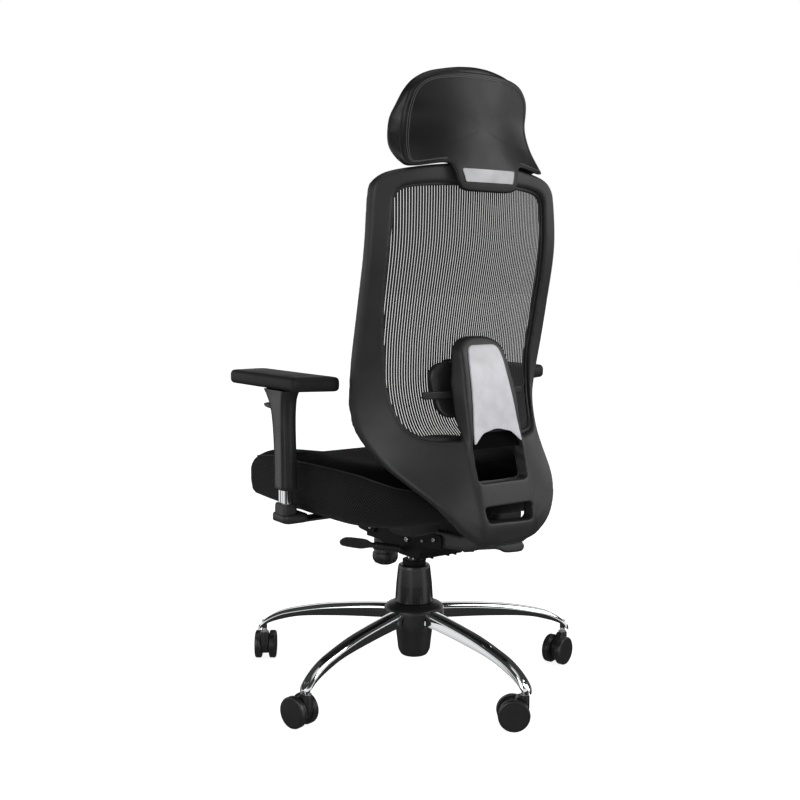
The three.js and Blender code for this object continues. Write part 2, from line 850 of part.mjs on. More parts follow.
function buildBack() {
  const plate = bentPlate({
    outline: smoothOutline(backOutline, 64),
    holes: [smoothOutline(windowOutline, WINDOW_STEPS)],
    thickness: BACK_THICKNESS,
    bevel: 5,
    rearFace: backFace,
    cell: 60,
  });
  const archHole = rounded([
    [-58, 455, 8],
    [58, 455, 8],
    [60, 500],
    [50, 541, 44],
    [-50, 541, 44],
    [-60, 500],
  ], 5);
  const slot = rounded([
    [-56, 378, 10],
    [56, 378, 10],
    [58, 413, 8],
    [-58, 413, 8],
  ]);
  const frame = cut(join(plate, pillar(), shoe()), prism(archHole), prism(slot));
  const bolt = crossRod(SEAT_PIVOT.pin + 2 * GAP, 100).translate(0, SHOE.bolt, SHOE.boltZ);
  part("back_frame", cut(frame, bolt), MATERIALS.plastic);

  const plates = sidePlates([
    [BACK_PIVOT.y - 13, BACK_PIVOT.z - 9, 8],
    [BACK_PIVOT.y + 13, BACK_PIVOT.z - 11, 8],
    [SHOE.bolt + 22, 312, 8],
    [SHOE.bolt + 22, 340, 10],
    [BACK_PIVOT.y - 13, BACK_PIVOT.z + 14, 12],
  ]);
  const pins = [
    crossRod(BACK_PIVOT.pin, SIDE_PLATE.inner + 1).translate(0, BACK_PIVOT.y, BACK_PIVOT.z),
    crossRod(SEAT_PIVOT.pin, SIDE_PLATE.inner + 1).translate(0, SHOE.bolt, SHOE.boltZ),
  ];
  part("recline_bracket", join(...plates, ...pins), MATERIALS.steel);

  const panelOutline = rounded([
    [-56, 523],
    [-34, 543, 20],
    [0, 552, 40],
    [34, 543, 20],
    [56, 523],
    [39, 686],
    [32, 701, 14],
    [-32, 701, 14],
    [-39, 686],
  ]);
  const panel = bentPlate({
    outline: panelOutline,
    thickness: 3,
    bevel: 0,
    rearFace: (x, z) => pillarFace(z) + 4.6,
    cell: 60,
  });
  part("spine_panel", panel, MATERIALS.silver);
}

// ---- Mesh panel, its bead and the lumbar support ----
const BEAD = { thickness: 9, width: 5 }; // holds the mesh round the window
const MESH_THICKNESS = 2.4;
const MESH_DEPTH = 14.5; // in front of the frame's rear face
const windowHalf = table(windowOutline.slice(3, 12).map(([x, z]) => [z, x]));
const windowEdge = (z) => windowHalf(THREE.MathUtils.clamp(z, 536, 968));
const meshSag = table([
  [500, 26],
  [540, 22],
  [600, 18],
  [700, 20],
  [800, 26],
  [900, 32],
  [1000, 35],
]);

// An outline moved outwards by a distance, or inwards when it is negative.
function offset(outline, distance) {
  const side = THREE.ShapeUtils.isClockWise(outline) ? 1 : -1;
  return outline.map((p, i) => {
    const before = outline.at(i - 1);
    const along = outline[(i + 1) % outline.length].clone().sub(before).normalize();
    return new THREE.Vector2(p.x - side * along.y * distance, p.y + side * along.x * distance);
  });
}

function meshMiddle(x, z) {
  const edge = windowEdge(z);
  return backFace(edge, z) - MESH_DEPTH + meshSag(z) * (1 - (x / edge) ** 2);
}

const LUMBAR = { thickness: 18, clear: 7.5, barHeight: 611 };

function buildMesh() {
  const opening = smoothOutline(windowOutline, WINDOW_STEPS);
  const bead = bentPlate({
    outline: offset(opening, -GAP),
    holes: [offset(opening, -BEAD.width)],
    thickness: BEAD.thickness,
    bevel: 0,
    rearFace: (x, z) => meshMiddle(x, z) + BEAD.thickness / 2,
    cell: 60,
  });
  part("mesh_bead", bead, MATERIALS.plastic);
  const panel = bentPlate({
    outline: offset(opening, -BEAD.width - GAP),
    thickness: MESH_THICKNESS,
    bevel: 0,
    rearFace: (x, z) => meshMiddle(x, z) + MESH_THICKNESS / 2,
    cell: 70,
  });
  part("back_mesh", panel, MATERIALS.mesh);

  const reach = MESH_THICKNESS / 2 + LUMBAR.clear + LUMBAR.thickness;
  const pad = bentPlate({
    outline: rounded([
      [-80, 568, 24],
      [80, 568, 24],
      [96, 670, 34],
      [-96, 670, 34],
    ], 5),
    thickness: LUMBAR.thickness,
    bevel: 5,
    rearFace: (x, z) => meshMiddle(x, z) + reach,
    cell: 40,
  });
  part("lumbar_pad", pad, MATERIALS.plastic);
  const bar = bentPlate({
    outline: vec2([
      [-127, LUMBAR.barHeight - 7],
      [127, LUMBAR.barHeight - 7],
      [127, LUMBAR.barHeight + 7],
      [-127, LUMBAR.barHeight + 7],
    ]),
    thickness: 8,
    bevel: 1.5,
    rearFace: (x, z) => meshMiddle(x, LUMBAR.barHeight - 7) + reach + 10,
    cell: 40,
  });
  part("lumbar_bar", bar, MATERIALS.plastic);
}

// ---- Headrest: a shell whose neck tab slides on the top of the frame ----
const SHELL_THICKNESS = 10;
const headMiddle = table([
  [970, 236],
  [1010, 236],
  [1040, 231],
  [1075, 221],
  [1110, 214],
  [1140, 211],
  [1170, 209],
  [1230, 206],
]);
const headWrap = table([
  [970, 20],
  [1010, 24],
  [1040, 44],
  [1075, 58],
  [1115, 62],
  [1160, 46],
  [1230, 40],
]);
const headFace = (x, z) => headMiddle(z) - headWrap(z) * (Math.abs(x) / 165) ** 2;

const shellOutline = [
  [0, 1199],
  [60, 1197],
  [106, 1188],
  [131, 1169],
  [140, 1146],
  [146, 1105],
  [156, 1058],
  [159, 1038],
  [148, HEADREST_BOTTOM + 3],
  [88, HEADREST_BOTTOM + 11],
  [75, 1022],
  [68, 996],
  [54, 984],
  [0, 982],
];
const cushionOutline = [
  [0, HEADREST_TOP],
  [75, HEADREST_TOP - 9],
  [112, HEADREST_TOP - 24],
  [134, HEADREST_TOP - 50],
  [146, 1130],
  [154, 1095],
  [160, 1058],
  [153, 1034],
  [138, HEADREST_BOTTOM],
  [70, HEADREST_BOTTOM + 10],
  [0, HEADREST_BOTTOM + 11],
];

function buildHeadrest() {
  const shell = bentPlate({
    outline: smoothOutline(shellOutline, 50),
    thickness: SHELL_THICKNESS,
    bevel: 3,
    rearFace: headFace,
    cell: 50,
  });
  part("headrest_shell", shell, MATERIALS.leather);
  const cushion = bentPlate({
    outline: smoothOutline(cushionOutline, 40),
    thickness: 29,
    bevel: 11,
    bevelSegments: 2,
    rearFace: (x, z) => headFace(x, z) - SHELL_THICKNESS - 3.5,
    cell: 50,
  });
  part("headrest_cushion", cushion, MATERIALS.leather);
  const badge = bentPlate({
    outline: rounded([
      [-56, 998, 3],
      [56, 998, 3],
      [63, 1024, 3],
      [-63, 1024, 3],
    ], 2),
    thickness: 2,
    bevel: 0,
    rearFace: (x, z) => headFace(x, z) + 3,
    cell: 40,
  });
  part("headrest_badge", badge, MATERIALS.silver);
}

buildBase();
buildColumn();
buildMechanism();
buildLevers();
buildSeat();
buildArms();
buildBack();
buildMesh();
buildHeadrest();

export default chair;
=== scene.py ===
"""Looks of the swivel office chair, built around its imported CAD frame.

Shapes are drawn in millimetres from the column's axis on the floor, and piece() turns them into metres
in the row frame. The sitter faces -Y, and the sitter's left is +X.
"""

import math

import bmesh
import bpy
import numpy as np
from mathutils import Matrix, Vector


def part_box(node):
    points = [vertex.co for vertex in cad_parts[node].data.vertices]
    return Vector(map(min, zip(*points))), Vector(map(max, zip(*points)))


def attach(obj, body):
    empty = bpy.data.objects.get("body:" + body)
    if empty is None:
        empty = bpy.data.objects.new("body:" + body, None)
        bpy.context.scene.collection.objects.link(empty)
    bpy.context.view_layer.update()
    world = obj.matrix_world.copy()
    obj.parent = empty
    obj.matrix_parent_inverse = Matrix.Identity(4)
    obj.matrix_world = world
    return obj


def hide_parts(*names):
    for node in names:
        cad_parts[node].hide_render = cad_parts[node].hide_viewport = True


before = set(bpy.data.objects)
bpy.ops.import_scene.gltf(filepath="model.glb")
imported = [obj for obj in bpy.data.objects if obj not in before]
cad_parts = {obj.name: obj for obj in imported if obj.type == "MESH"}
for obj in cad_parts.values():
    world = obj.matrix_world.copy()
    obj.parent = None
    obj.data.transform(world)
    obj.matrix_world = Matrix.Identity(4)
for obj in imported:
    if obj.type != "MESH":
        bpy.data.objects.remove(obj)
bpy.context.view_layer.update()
MM = 0.001
tube_low, tube_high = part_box("column_tube")
AXIS = np.array([(tube_low.x + tube_high.x) / 2, (tube_low.y + tube_high.y) / 2, 0.0])
LEG_COUNT = 5
BASE_RADIUS = 340
LEG_TURN = 19
LEG_STEP = 360 / LEG_COUNT
CASTER_TRAILS = [286, 325, 17, 200, 235]

# ---- Curves and outlines ----


def catmull(p0, p1, p2, p3, t):
    """A point of the uniform Catmull-Rom curve between p1 and p2."""
    a = (p2 - p0) * 0.5
    b = (p3 - p1) * 0.5
    cubic = 2 * p1 - 2 * p2 + a + b
    square = -3 * p1 + 3 * p2 - 2 * a - b
    return cubic * t**3 + square * t**2 + a * t + p1


def through(points, steps=12, closed=False):
    """A smooth line through the points."""
    points = [np.array(p, float) for p in points]
    count = len(points)
    row = [points[i % count if closed else min(max(i, 0), count - 1)] for i in range(-1, count + 2)]
    line = []
    for i in range(count if closed else count - 1):
        line += [catmull(*row[i:i + 4], t) for t in np.linspace(0, 1, steps, endpoint=False)]
    if not closed:
        line.append(points[-1])
    return np.array(line)


def table(pairs):
    """A smooth curve through (input, output) pairs, read at one input or an array of them."""
    line = through(sorted(pairs))
    order = np.argsort(line[:, 0], kind="stable")
    return lambda value: np.interp(value, line[order, 0], line[order, 1])


def evenly(points, count, closed=True):
    """count points at equal distances along a line of points."""
    line = np.array([*points, points[0]] if closed else points, float)
    along = np.concatenate([[0], np.cumsum(np.linalg.norm(np.diff(line, axis=0), axis=1))])
    stops = np.linspace(0, along[-1], count, endpoint=not closed)
    return np.stack([np.interp(stops, along, line[:, k]) for k in range(line.shape[1])], axis=1)


def both_halves(half, count):
    """A smooth closed outline through the points of its +X half and their mirror images."""
    mirrored = [(-x, z) for x, z in reversed(half) if x != 0]
    return evenly(through([*half, *mirrored], closed=True), count)


def rounded(points, steps=6):
    """A closed outline of (x, y, corner radius) points with round corners."""
    outline = []
    for i, (x, y, radius) in enumerate(points):
        corner = np.array([x, y], float)
        before = np.array(points[i - 1][:2], float) - corner
        after = np.array(points[(i + 1) % len(points)][:2], float) - corner
        if not radius:
            outline.append(corner)
            continue
        lengths = np.linalg.norm(before), np.linalg.norm(after)
        turn = math.acos(before @ after / lengths[0] / lengths[1]) / 2
        run = min(radius / math.tan(turn), min(lengths) / 2.1)
        start = corner + before / lengths[0] * run
        end = corner + after / lengths[1] * run
        for t in np.linspace(0, 1, steps):
            outline.append(start * (1 - t) ** 2 + corner * 2 * t * (1 - t) + end * t**2)
    return np.array(outline)


def mirrored(half):
    """The (x, y, corner radius) points of an outline whose +X half is given from its lowest corner up."""
    others = [(-x, y, radius) for x, y, radius in half]
    return [others[0], *half, *reversed(others[1:])]


def rectangle(x0, y0, x1, y1, radius):
    """The corners of a rectangle, as rounded() takes them."""
    return [(x0, y0, radius), (x1, y0, radius), (x1, y1, radius), (x0, y1, radius)]


def inset(outline, distance):
    """A closed outline moved inwards by a distance."""
    area = np.sum(outline[:, 0] * np.roll(outline[:, 1], -1) - outline[:, 1] * np.roll(outline[:, 0], -1))
    along = np.roll(outline, -1, axis=0) - np.roll(outline, 1, axis=0)
    along /= np.linalg.norm(along, axis=1)[:, None] + 1e-9
    inwards = np.stack([-along[:, 1], along[:, 0]], axis=1) * np.sign(area)
    return outline + inwards * distance


def turn_pair(x, y, angle):
    """Two coordinates turned by an angle in radians."""
    c, s = math.cos(angle), math.sin(angle)
    return x * c - y * s, x * s + y * c


def spin(points, degrees):
    """Points turned about +Z."""
    points = np.array(points, float)
    x, y = turn_pair(points[:, 0], points[:, 1], math.radians(degrees))
    return np.stack([x, y, points[:, 2]], axis=1)


# ---- Meshes ----


class Shape:
    """Vertices in millimetres and faces, gathered before they become one object."""

    def __init__(self):
        self.verts = []
        self.faces = []

    def add(self, verts, faces):
        start = len(self.verts)
        self.verts += [tuple(v) for v in verts]
        self.faces += [tuple(i + start for i in face) for face in faces]
        return self

    def loft(self, rings, caps=True, closed=True):
        """Skins rings of equal point counts, with fans over the first and last."""
        rings = [np.array(r, float) for r in rings]
        count = len(rings[0])
        verts = [p for ring in rings for p in ring]
        faces = []
        for k in range(len(rings) - 1):
            for i in range(count if closed else count - 1):
                a, b = k * count + i, k * count + (i + 1) % count
                faces.append((a, b, b + count, a + count))
        if caps:
            for base in (0, (len(rings) - 1) * count):
                faces += [(len(verts), base + i, base + (i + 1) % count) for i in range(count)]
                verts.append(np.mean(verts[base:base + count], axis=0))
        return self.add(verts, faces)

    def stack(self, outline, levels, axis="z"):
        """Skins one outline at (place, inset) levels along an axis."""
        rings = []
        for place, e in levels:
            columns = list(inset(outline, e).T)
            columns.insert("xyz".index(axis), np.full(len(outline), place))
            rings.append(np.column_stack(columns))
        return self.loft(rings)

    def slab(self, outline, start, end, edge, axis="x"):
        """An outline pushed along an axis from start to end, with bevelled rims."""
        return self.stack(outline, ((start, edge), (start + edge, 0), (end - edge, 0), (end, edge)), axis)

    def turned(self, profile, segments=72, centre=(0, 0, 0), axis="z"):
        """A solid of revolution from (radius, height) pairs. It closes on itself, or on the axis."""
        angles = np.linspace(0, 2 * math.pi, segments, endpoint=False)
        rings = [np.array([(r * math.cos(a), r * math.sin(a), h) for r, h in profile]) for a in angles]
        on_axis = profile[0][0] < 1e-6 and profile[-1][0] < 1e-6
        order = {"x": [2, 0, 1], "y": [1, 2, 0], "z": [0, 1, 2]}[axis]
        rings = [ring[:, order] + np.array(centre, float) for ring in rings]
        return self.loft([*rings, rings[0]], caps=False, closed=not on_axis)

    def tube(self, path, radius, sides=10, closed=False):
        """A round rod along a path."""
        path = np.array(path, float)
        row = [path[-1], *path, path[0]] if closed else [path[0], *path, path[-1]]
        rings = []
        normal = None
        for i, point in enumerate(path):
            along = (row[i + 2] - row[i]) / np.linalg.norm(row[i + 2] - row[i])
            if normal is None:
                normal = np.cross(along, [0.3, 0.2, 0.93])
            normal = normal - along * (normal @ along)
            normal /= np.linalg.norm(normal)
            side = np.cross(along, normal)
            turn = np.linspace(0, 2 * math.pi, sides, endpoint=False)[:, None]
            rings.append(point + radius * (np.cos(turn) * normal + np.sin(turn) * side))
        if closed:
            rings.append(rings[0])
        return self.loft(rings, caps=not closed)

    def box(self, lows, highs, edge):
        """A block with bevelled edges."""
        (x0, y0, z0), (x1, y1, z1) = lows, highs
        rings = []
        for z, e in ((z0, edge), (z0 + edge, 0), (z1 - edge, 0), (z1, edge)):
            outline = rounded(rectangle(x0 + e, y0 + e, x1 - e, y1 - e, edge), 3)
            rings.append(np.column_stack([outline, np.full(len(outline), z)]))
        return self.loft(rings)


def raw(name, verts, faces):
    """A bare object without doubled points, with every face turned outwards."""
    mesh = bpy.data.meshes.new(name)
    mesh.from_pydata(np.array(verts).tolist(), [], faces)
    mesh.validate()
    obj = bpy.data.objects.new(name, mesh)
    bpy.context.scene.collection.objects.link(obj)
    work = bmesh.new()
    work.from_mesh(mesh)
    bmesh.ops.remove_doubles(work, verts=work.verts, dist=1e-6)
    bmesh.ops.recalc_face_normals(work, faces=work.faces)
    work.to_mesh(mesh)
    work.free()
    return obj


def piece(name, shape, material, body, node, slot, sharp=40):
    """Makes one object from a shape in millimetres and hangs it on its body."""
    obj = raw(name, np.array(shape.verts, float) * MM + AXIS, shape.faces)
    finish_mesh(obj, material, sharp)
    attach(obj, body)
    if node:
        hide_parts(node)
    return obj


def finish_mesh(obj, material, sharp=40):
    """Gives a mesh its material and smooth shading, with edges over an angle kept sharp."""
    obj.data.materials.clear()
    obj.data.materials.append(material)
    obj.data.shade_smooth()
    obj.data.set_sharp_from_angle(angle=math.radians(sharp))


def modify(obj, kind, **settings):
    """Adds a modifier and applies it."""
    modifier = obj.modifiers.new(kind.lower(), kind)
    for key, value in settings.items():
        setattr(modifier, key, value)
    bpy.context.view_layer.objects.active = obj
    bpy.ops.object.modifier_apply(modifier=modifier.name)


# ---- Materials ----


def add_node(tree, kind, inputs=(), **properties):
    """A shader node with its properties set and its inputs linked or set."""
    node = tree.nodes.new("ShaderNode" + kind)
    for key, value in properties.items():
        setattr(node, key, value)
    for key, value in dict(inputs).items():
        if isinstance(value, bpy.types.NodeSocket):
            tree.links.new(value, node.inputs[key])
        else:
            node.inputs[key].default_value = value
    return node


class Look:
    """A material with a principled shader and short calls for its nodes."""

    def __init__(self, name, color, roughness, metallic=0.0, **sockets):
        self.material = bpy.data.materials.new(name)
        self.material.use_nodes = True
        self.tree = self.material.node_tree
        self.shader = self.tree.nodes["Principled BSDF"]
        sockets.update(Base_Color=(*color, 1), Roughness=roughness, Metallic=metallic)
        for key, value in sockets.items():
            self.shader.inputs[key.replace("_", " ")].default_value = value
        self.coordinates = self.tree.nodes.new("ShaderNodeTexCoord").outputs["Object"]

    def node(self, kind, inputs=(), **properties):
        return add_node(self.tree, kind, inputs, **properties)

    def link(self, output, socket):
        self.tree.links.new(output, self.shader.inputs[socket])

    def noise(self, scale, detail):
        inputs = {"Vector": self.coordinates, "Scale": scale, "Detail": detail}
        return self.node("TexNoise", inputs).outputs[0]

    def ramp(self, value, low, high, at=(0.3, 0.7)):
        """Maps a value to a range of numbers."""
        inputs = {"Value": value, "From Min": at[0], "From Max": at[1], "To Min": low, "To Max": high}
        return self.node("MapRange", inputs).outputs[0]

    def mixed(self, value, first, second):
        """Mixes two colours by a value."""
        node = self.node("Mix", {0: value, 6: (*first, 1), 7: (*second, 1)}, data_type="RGBA")
        return node.outputs[2]

    def bump(self, height, distance, strength, after=None):
        inputs = {"Height": height, "Distance": distance, "Strength": strength}
        if after is not None:
            inputs["Normal"] = after
        out = self.node("Bump", inputs).outputs[0]
        self.link(out, "Normal")
        return out


def moulded(name, color, roughness, grain=0.00012, scale=1400, gloss=0.5):
    """Moulded plastic: a fine spark-eroded grain, with faint patches of sheen."""
    look = Look(name, color, roughness, Specular_IOR_Level=gloss)
    look.link(look.ramp(look.noise(9, 2), roughness - 0.06, roughness + 0.06), "Roughness")
    lighter = tuple(c * 1.25 for c in color)
    look.link(look.mixed(look.ramp(look.noise(35, 4), 0, 1), color, lighter), "Base Color")
    look.bump(look.noise(scale, 2), grain, 0.5)
    return look.material


def metal(name, color, roughness, variation=0.03):
    look = Look(name, color, roughness, 1.0)
    look.link(look.ramp(look.noise(60, 3), roughness, roughness + variation), "Roughness")
    return look.material


def leather(name, color, roughness, gloss=0.45):
    """Coated fabric: fine pebbles with soft creases."""
    look = Look(name, color, roughness, Specular_IOR_Level=gloss)
    cells = look.node("TexVoronoi", {"Vector": look.coordinates, "Scale": 900.0}, feature="F1")
    first = look.bump(cells.outputs["Distance"], 0.00025, 0.35)
    look.bump(look.noise(160, 4), 0.0004, 0.25, after=first)
    look.link(look.ramp(look.noise(14, 3), roughness - 0.05, roughness + 0.07), "Roughness")
    return look.material


def spacer_mesh(name, color, hole, pitch=0.0038):
    """Black spacer fabric: rows of small eyelets along the mesh's UV map, turned by an eighth of a turn."""
    look = Look(name, color, 0.8, Sheen_Weight=0.02, Sheen_Roughness=0.5, Specular_IOR_Level=0.16)
    unrolled = look.node("TexCoord").outputs["UV"]
    turned = look.node("Mapping", {"Vector": unrolled, "Rotation": (0, 0, math.pi / 4)}).outputs[0]
    settings = {"Vector": turned, "Scale": 1 / pitch, "Randomness": 0.0}
    cells = look.node("TexVoronoi", settings, feature="F1", voronoi_dimensions="2D")
    eyelet = look.ramp(cells.outputs["Distance"], 1, 0, at=(0.22, 0.36))
    look.link(look.mixed(eyelet, color, hole), "Base Color")
    pits = look.bump(look.ramp(cells.outputs["Distance"], 0, 1, at=(0.15, 0.5)), 0.0008, 0.7)
    look.bump(look.noise(2200, 2), 0.0002, 0.4, after=pits)
    return look.material


def woven(name, color, scale=1500, gloss=0.5, sheen=0.2):
    """Smooth woven cloth with a fine thread pattern."""
    look = Look(name, color, 0.8, Sheen_Weight=sheen, Sheen_Roughness=0.4, Specular_IOR_Level=gloss)
    across = look.node("TexWave", {"Vector": look.coordinates, "Scale": scale / 6}, bands_direction="X")
    along = look.node("TexWave", {"Vector": look.coordinates, "Scale": scale / 6}, bands_direction="Y")
    first = look.bump(across.outputs["Fac"], 0.0002, 0.4)
    second = look.bump(along.outputs["Fac"], 0.0002, 0.4, after=first)
    look.bump(look.noise(500, 3), 0.0003, 0.3, after=second)
    return look.material


CHROME = metal("chrome_plating", (0.78, 0.79, 0.8), 0.04, 0.03)
STEEL = metal("bright_steel", (0.5, 0.51, 0.53), 0.28, 0.15)
BLACK_STEEL = moulded("black_paint", (0.003, 0.003, 0.0032), 0.55, gloss=0.14)
FRAME = moulded("frame_moulding", (0.0115, 0.0115, 0.012), 0.5)
TRIM = moulded("trim_moulding", (0.01, 0.01, 0.0104), 0.42)
SLEEVE = moulded("sleeve_moulding", (0.012, 0.012, 0.0125), 0.27, grain=0.00005)
TREAD = moulded("wheel_nylon", (0.0125, 0.0125, 0.013), 0.32)
RUBBER = moulded("pad_skin", (0.008, 0.008, 0.0084), 0.55, grain=0.0002, scale=700, gloss=0.25)
LEATHER = leather("head_leather", (0.005, 0.005, 0.0053), 0.42)
SHELL = leather("shell_cover", (0.005, 0.005, 0.0053), 0.42, 0.36)
SEAT = spacer_mesh("seat_spacer_mesh", (0.002, 0.002, 0.0022), (0.018, 0.018, 0.019))
SEAT_TOP = woven("seat_top_cloth", (0.0014, 0.0014, 0.0015), gloss=0.05, sheen=0.01)
STRIP = woven("mesh_strip", (0.006, 0.006, 0.0063), 2400)
PIPING = moulded("piping", (0.05, 0.05, 0.052), 0.5, grain=0.00005)
PIPING_DARK = moulded("seat_piping", (0.006, 0.006, 0.0063), 0.6, grain=0.00005)
# Painted shade: a near-black finish for the sheet in the pocket under the spine cover, standing in for the
# shadow there.
PAINTED_SHADE = moulded("painted_shade_sheet", (0.0012, 0.0012, 0.0013), 0.8, gloss=0.06)
SILVER = moulded("silver_paint", (0.42, 0.42, 0.44), 0.36, grain=0.00005)
BADGE = moulded("badge_paint", (0.33, 0.33, 0.345), 0.36, grain=0.00005)


# ---- Base ----
LEG_INNER, LEG_TIP, LEG_WALL = 28.6, 353, 2.5
leg_top = table([(28.6, 154.5), (80, 152), (148, 145.5), (204, 138), (255, 127.5), (298, 115.5), (331, 98),
                 (353, 77)])
leg_under = table([(28.6, 127.5), (80, 125), (155, 120.5), (242, 112), (290, 101), (329, 86), (353, 67)])


def leg_section(r):
    """The leg's section at a radius: an upside-down channel with a flat top and leaning sides."""
    width = np.interp(r, [LEG_INNER, BASE_RADIUS], [31, 25]) / 2
    nose = max(r - (LEG_TIP - 12), 0)
    width *= math.sqrt(max(1 - (nose / 12.5) ** 2, 0.02))
    top, under = leg_top(r), leg_under(r)
    wall = min(LEG_WALL, width * 0.4)
    half = [(-width, under), (-width, top - 8), (-width * 0.97, top - 6), (-width * 0.74, top - 1.6),
            (-width * 0.68, top - 0.6), (-width * 0.6, top - 0.2), (0, top)]
    inner = [(-width + wall, under), (-width + wall, top - 9), (-width * 0.6, top - 4), (0, top - 3.5)]
    section = half + [(-x, z) for x, z in reversed(half[:-1])]
    section += [(-x, z) for x, z in inner[:-1]] + inner[::-1]
    return [(r, x, z) for x, z in section]


def build_legs():
    nose = 23
    stations = [*np.linspace(LEG_INNER, LEG_TIP - nose, 50)]
    stations += list(LEG_TIP - nose * np.linspace(1, 0, 16)[1:] ** 2)
    for k in range(LEG_COUNT):
        shape = Shape().loft([leg_section(r) for r in stations])
        shape.verts = list(spin(shape.verts, LEG_TURN + LEG_STEP * k))
        piece(f"leg_{k + 1}", shape, CHROME, "base", f"base_leg_{k + 1}", "chrome", sharp=50)


def build_hub():
    """The domed cover with an arch over each leg, the lower cup and the tapered column cover."""
    hem, rise, reach, radius = 122, 29, 18.5, 61
    dome = through([(25, 163), (40, 163), (48, 160.5), (56, 157), (60.5, 153), (61.8, 149)], 5)
    rings = []
    for a in range(360):
        from_leg = (a - LEG_TURN + LEG_STEP / 2) % LEG_STEP - LEG_STEP / 2
        sideways = abs(math.radians(from_leg)) * radius
        low = hem + rise * math.sqrt(max(1 - (sideways / reach) ** 4, 0))
        section = [*dome, (62, max(145, low + 1)), (62, low + 0.5), (61.4, low), (59.5, low),
                   (59.5, max(146, low + 0.5)), (57, max(150, low + 0.6)), (50, 156.5), (25, 158.6)]
        rings.append(spin([(r, 0, z) for r, z in section], a))
    shape = Shape().loft([*rings, rings[0]], caps=False)
    piece("hub_dome", shape, TRIM, "base", "hub_top_cover", "trim_plastic", sharp=35)

    cup = rounded([(0, 50.2, 0), (27, 50.2, 8), (33, 62, 14), (38.3, 108, 12), (38.3, 126, 2), (28.5, 126, 1),
                   (28.5, 61.8, 0), (0, 61.8, 0)])
    piece("lower_cup", Shape().turned(cup), TRIM, "base", "hub_lower_cup", "trim_plastic")
    cover = rounded([(24.4, 163.6, 0), (39.4, 163.6, 2), (37.2, 200, 40), (33.4, 235, 10), (31.8, 240.5, 2.5),
                     (24.4, 241.4, 1)])
    piece("column_sleeve", Shape().turned(cover), SLEEVE, "base", "column_cover", "trim_plastic")
    tube = rounded([(14.5, 160, 0), (24, 160, 0), (24, 252, 2), (14.5, 252, 1)])
    piece("lift_tube", Shape().turned(tube), BLACK_STEEL, "base", "column_tube", "black_steel")
    cylinder = rounded([(5.4, 80, 0), (14, 80, 1), (14, 300, 3), (0, 306, 0), (0, 274, 0), (5.4, 274, 0)], 4)
    piece("lift_cylinder", Shape().turned(cylinder), CHROME, "chassis", "gas_cylinder", "chrome")


# ---- Casters: the stem stands on the local Z axis and the wheels trail to +X ----
TRAIL, SLAB, WHEEL_WIDTH, WHEEL_RADIUS = 20.5, 15, 15.2, 30


def caster_place(shape, k):
    """Turns a caster's shape to its trail and moves it under the tip of its leg."""
    tip = spin([(BASE_RADIUS, 0, 0)], LEG_TURN + LEG_STEP * k)
    shape.verts = list(spin(shape.verts, CASTER_TRAILS[k]) + tip)
    return shape


def wheel_shape(sign):
    """A wheel with a groove in its tread, a rim step and a bore for the axle."""
    profile = [(4.3, 0), (24, 0), (25, 1.2), (28.6, 1.2), (30, 3), (30, 6.2), (29.3, 6.6), (29.3, 7.4),
               (30, 7.8)]
    face = [(30, 3.6), (29.4, 2), (27.6, 0.8), (26.6, 0.7), (26.2, 1.3), (25.6, 1.3), (25.1, 0.6), (12, 0),
            (0, 0), (0, 4), (4.3, 4)]
    profile += [(radius, WHEEL_WIDTH - depth) for radius, depth in face]
    profile = [(radius, sign * (SLAB / 2 + 0.3 + y)) for radius, y in profile]
    return Shape().turned(profile, 80, centre=(TRAIL, 0, WHEEL_RADIUS), axis="y")


def hood_shape():
    """The body between the wheels, with a rounded hood over their inner edges and the axle."""
    side = rounded([(-8, 64, 2), (-8.6, 34, 10), (3, 14, 8), (31, 12.5, 14), (36, 40, 14), (24, 52, 8),
                    (11, 64, 3)])
    shape = Shape()
    shape.slab(side, -SLAB / 2, SLAB / 2, 1.2, "y")
    boss = rounded([(5.9, 40, 0), (9.4, 40, 0), (9.4, 62.6, 1.5), (5.9, 63, 0)], 4)
    shape.turned(boss, 40)
    axle = [(0, -15.5), (3.9, -15.5), (3.9, 15.5), (0, 15.5)]
    shape.turned(axle, 24, centre=(TRAIL, 0, WHEEL_RADIUS), axis="y")
    return shape


def build_casters():
    stem = [(0, 41), (5.4, 41), (5.4, 63.4), (8, 63.6), (8.3, 64.6), (8, 66), (5.6, 66.4), (5.6, 72), (5, 73),
            (5.5, 74), (5.5, 89.6), (0, 90)]
    for k in range(LEG_COUNT):
        number = k + 1
        body = f"caster_{number}"
        hood = caster_place(hood_shape(), k)
        piece(f"hood_{number}", hood, TREAD, body, f"{body}_body", "caster_plastic")
        pintle = caster_place(Shape().turned(stem, 40), k)
        piece(f"pintle_{number}", pintle, STEEL, body, f"{body}_stem", "steel")
        for side, sign in (("a", 1), ("b", -1)):
            wheel = caster_place(wheel_shape(sign), k)
            node = f"{body}_wheel_{side}"
            piece(f"wheel_{number}_{side}", wheel, TREAD, node, node, "wheel_plastic", sharp=30)


# ---- Mechanism and levers ----
def bolt(shape, x, y, z, radius=5, length=3, sign=1):
    """A bolt head with a round socket, standing along X."""
    head = [(0, 0), (radius, 0), (radius, length - 0.8), (radius - 0.8, length), (radius * 0.55, length),
            (radius * 0.5, length - 1.5), (0, length - 1.5)]
    return shape.turned([(r, h * sign) for r, h in head], 24, centre=(x, y, z), axis="x")


def side_plates(shape, outline):
    """Two steel plates of one (y, z) outline, one on each side."""
    for x in (PLATE_IN, -PLATE_OUT):
        shape.slab(outline, x, x + PLATE_OUT - PLATE_IN, 0.8)


def pin(shape, y, z, radius):
    """A pin across the mechanism, between its side plates."""
    profile = [(0, -PIN_REACH), (radius, -PIN_REACH), (radius, PIN_REACH), (0, PIN_REACH)]
    return shape.turned(profile, 24, centre=(0, y, z), axis="x")


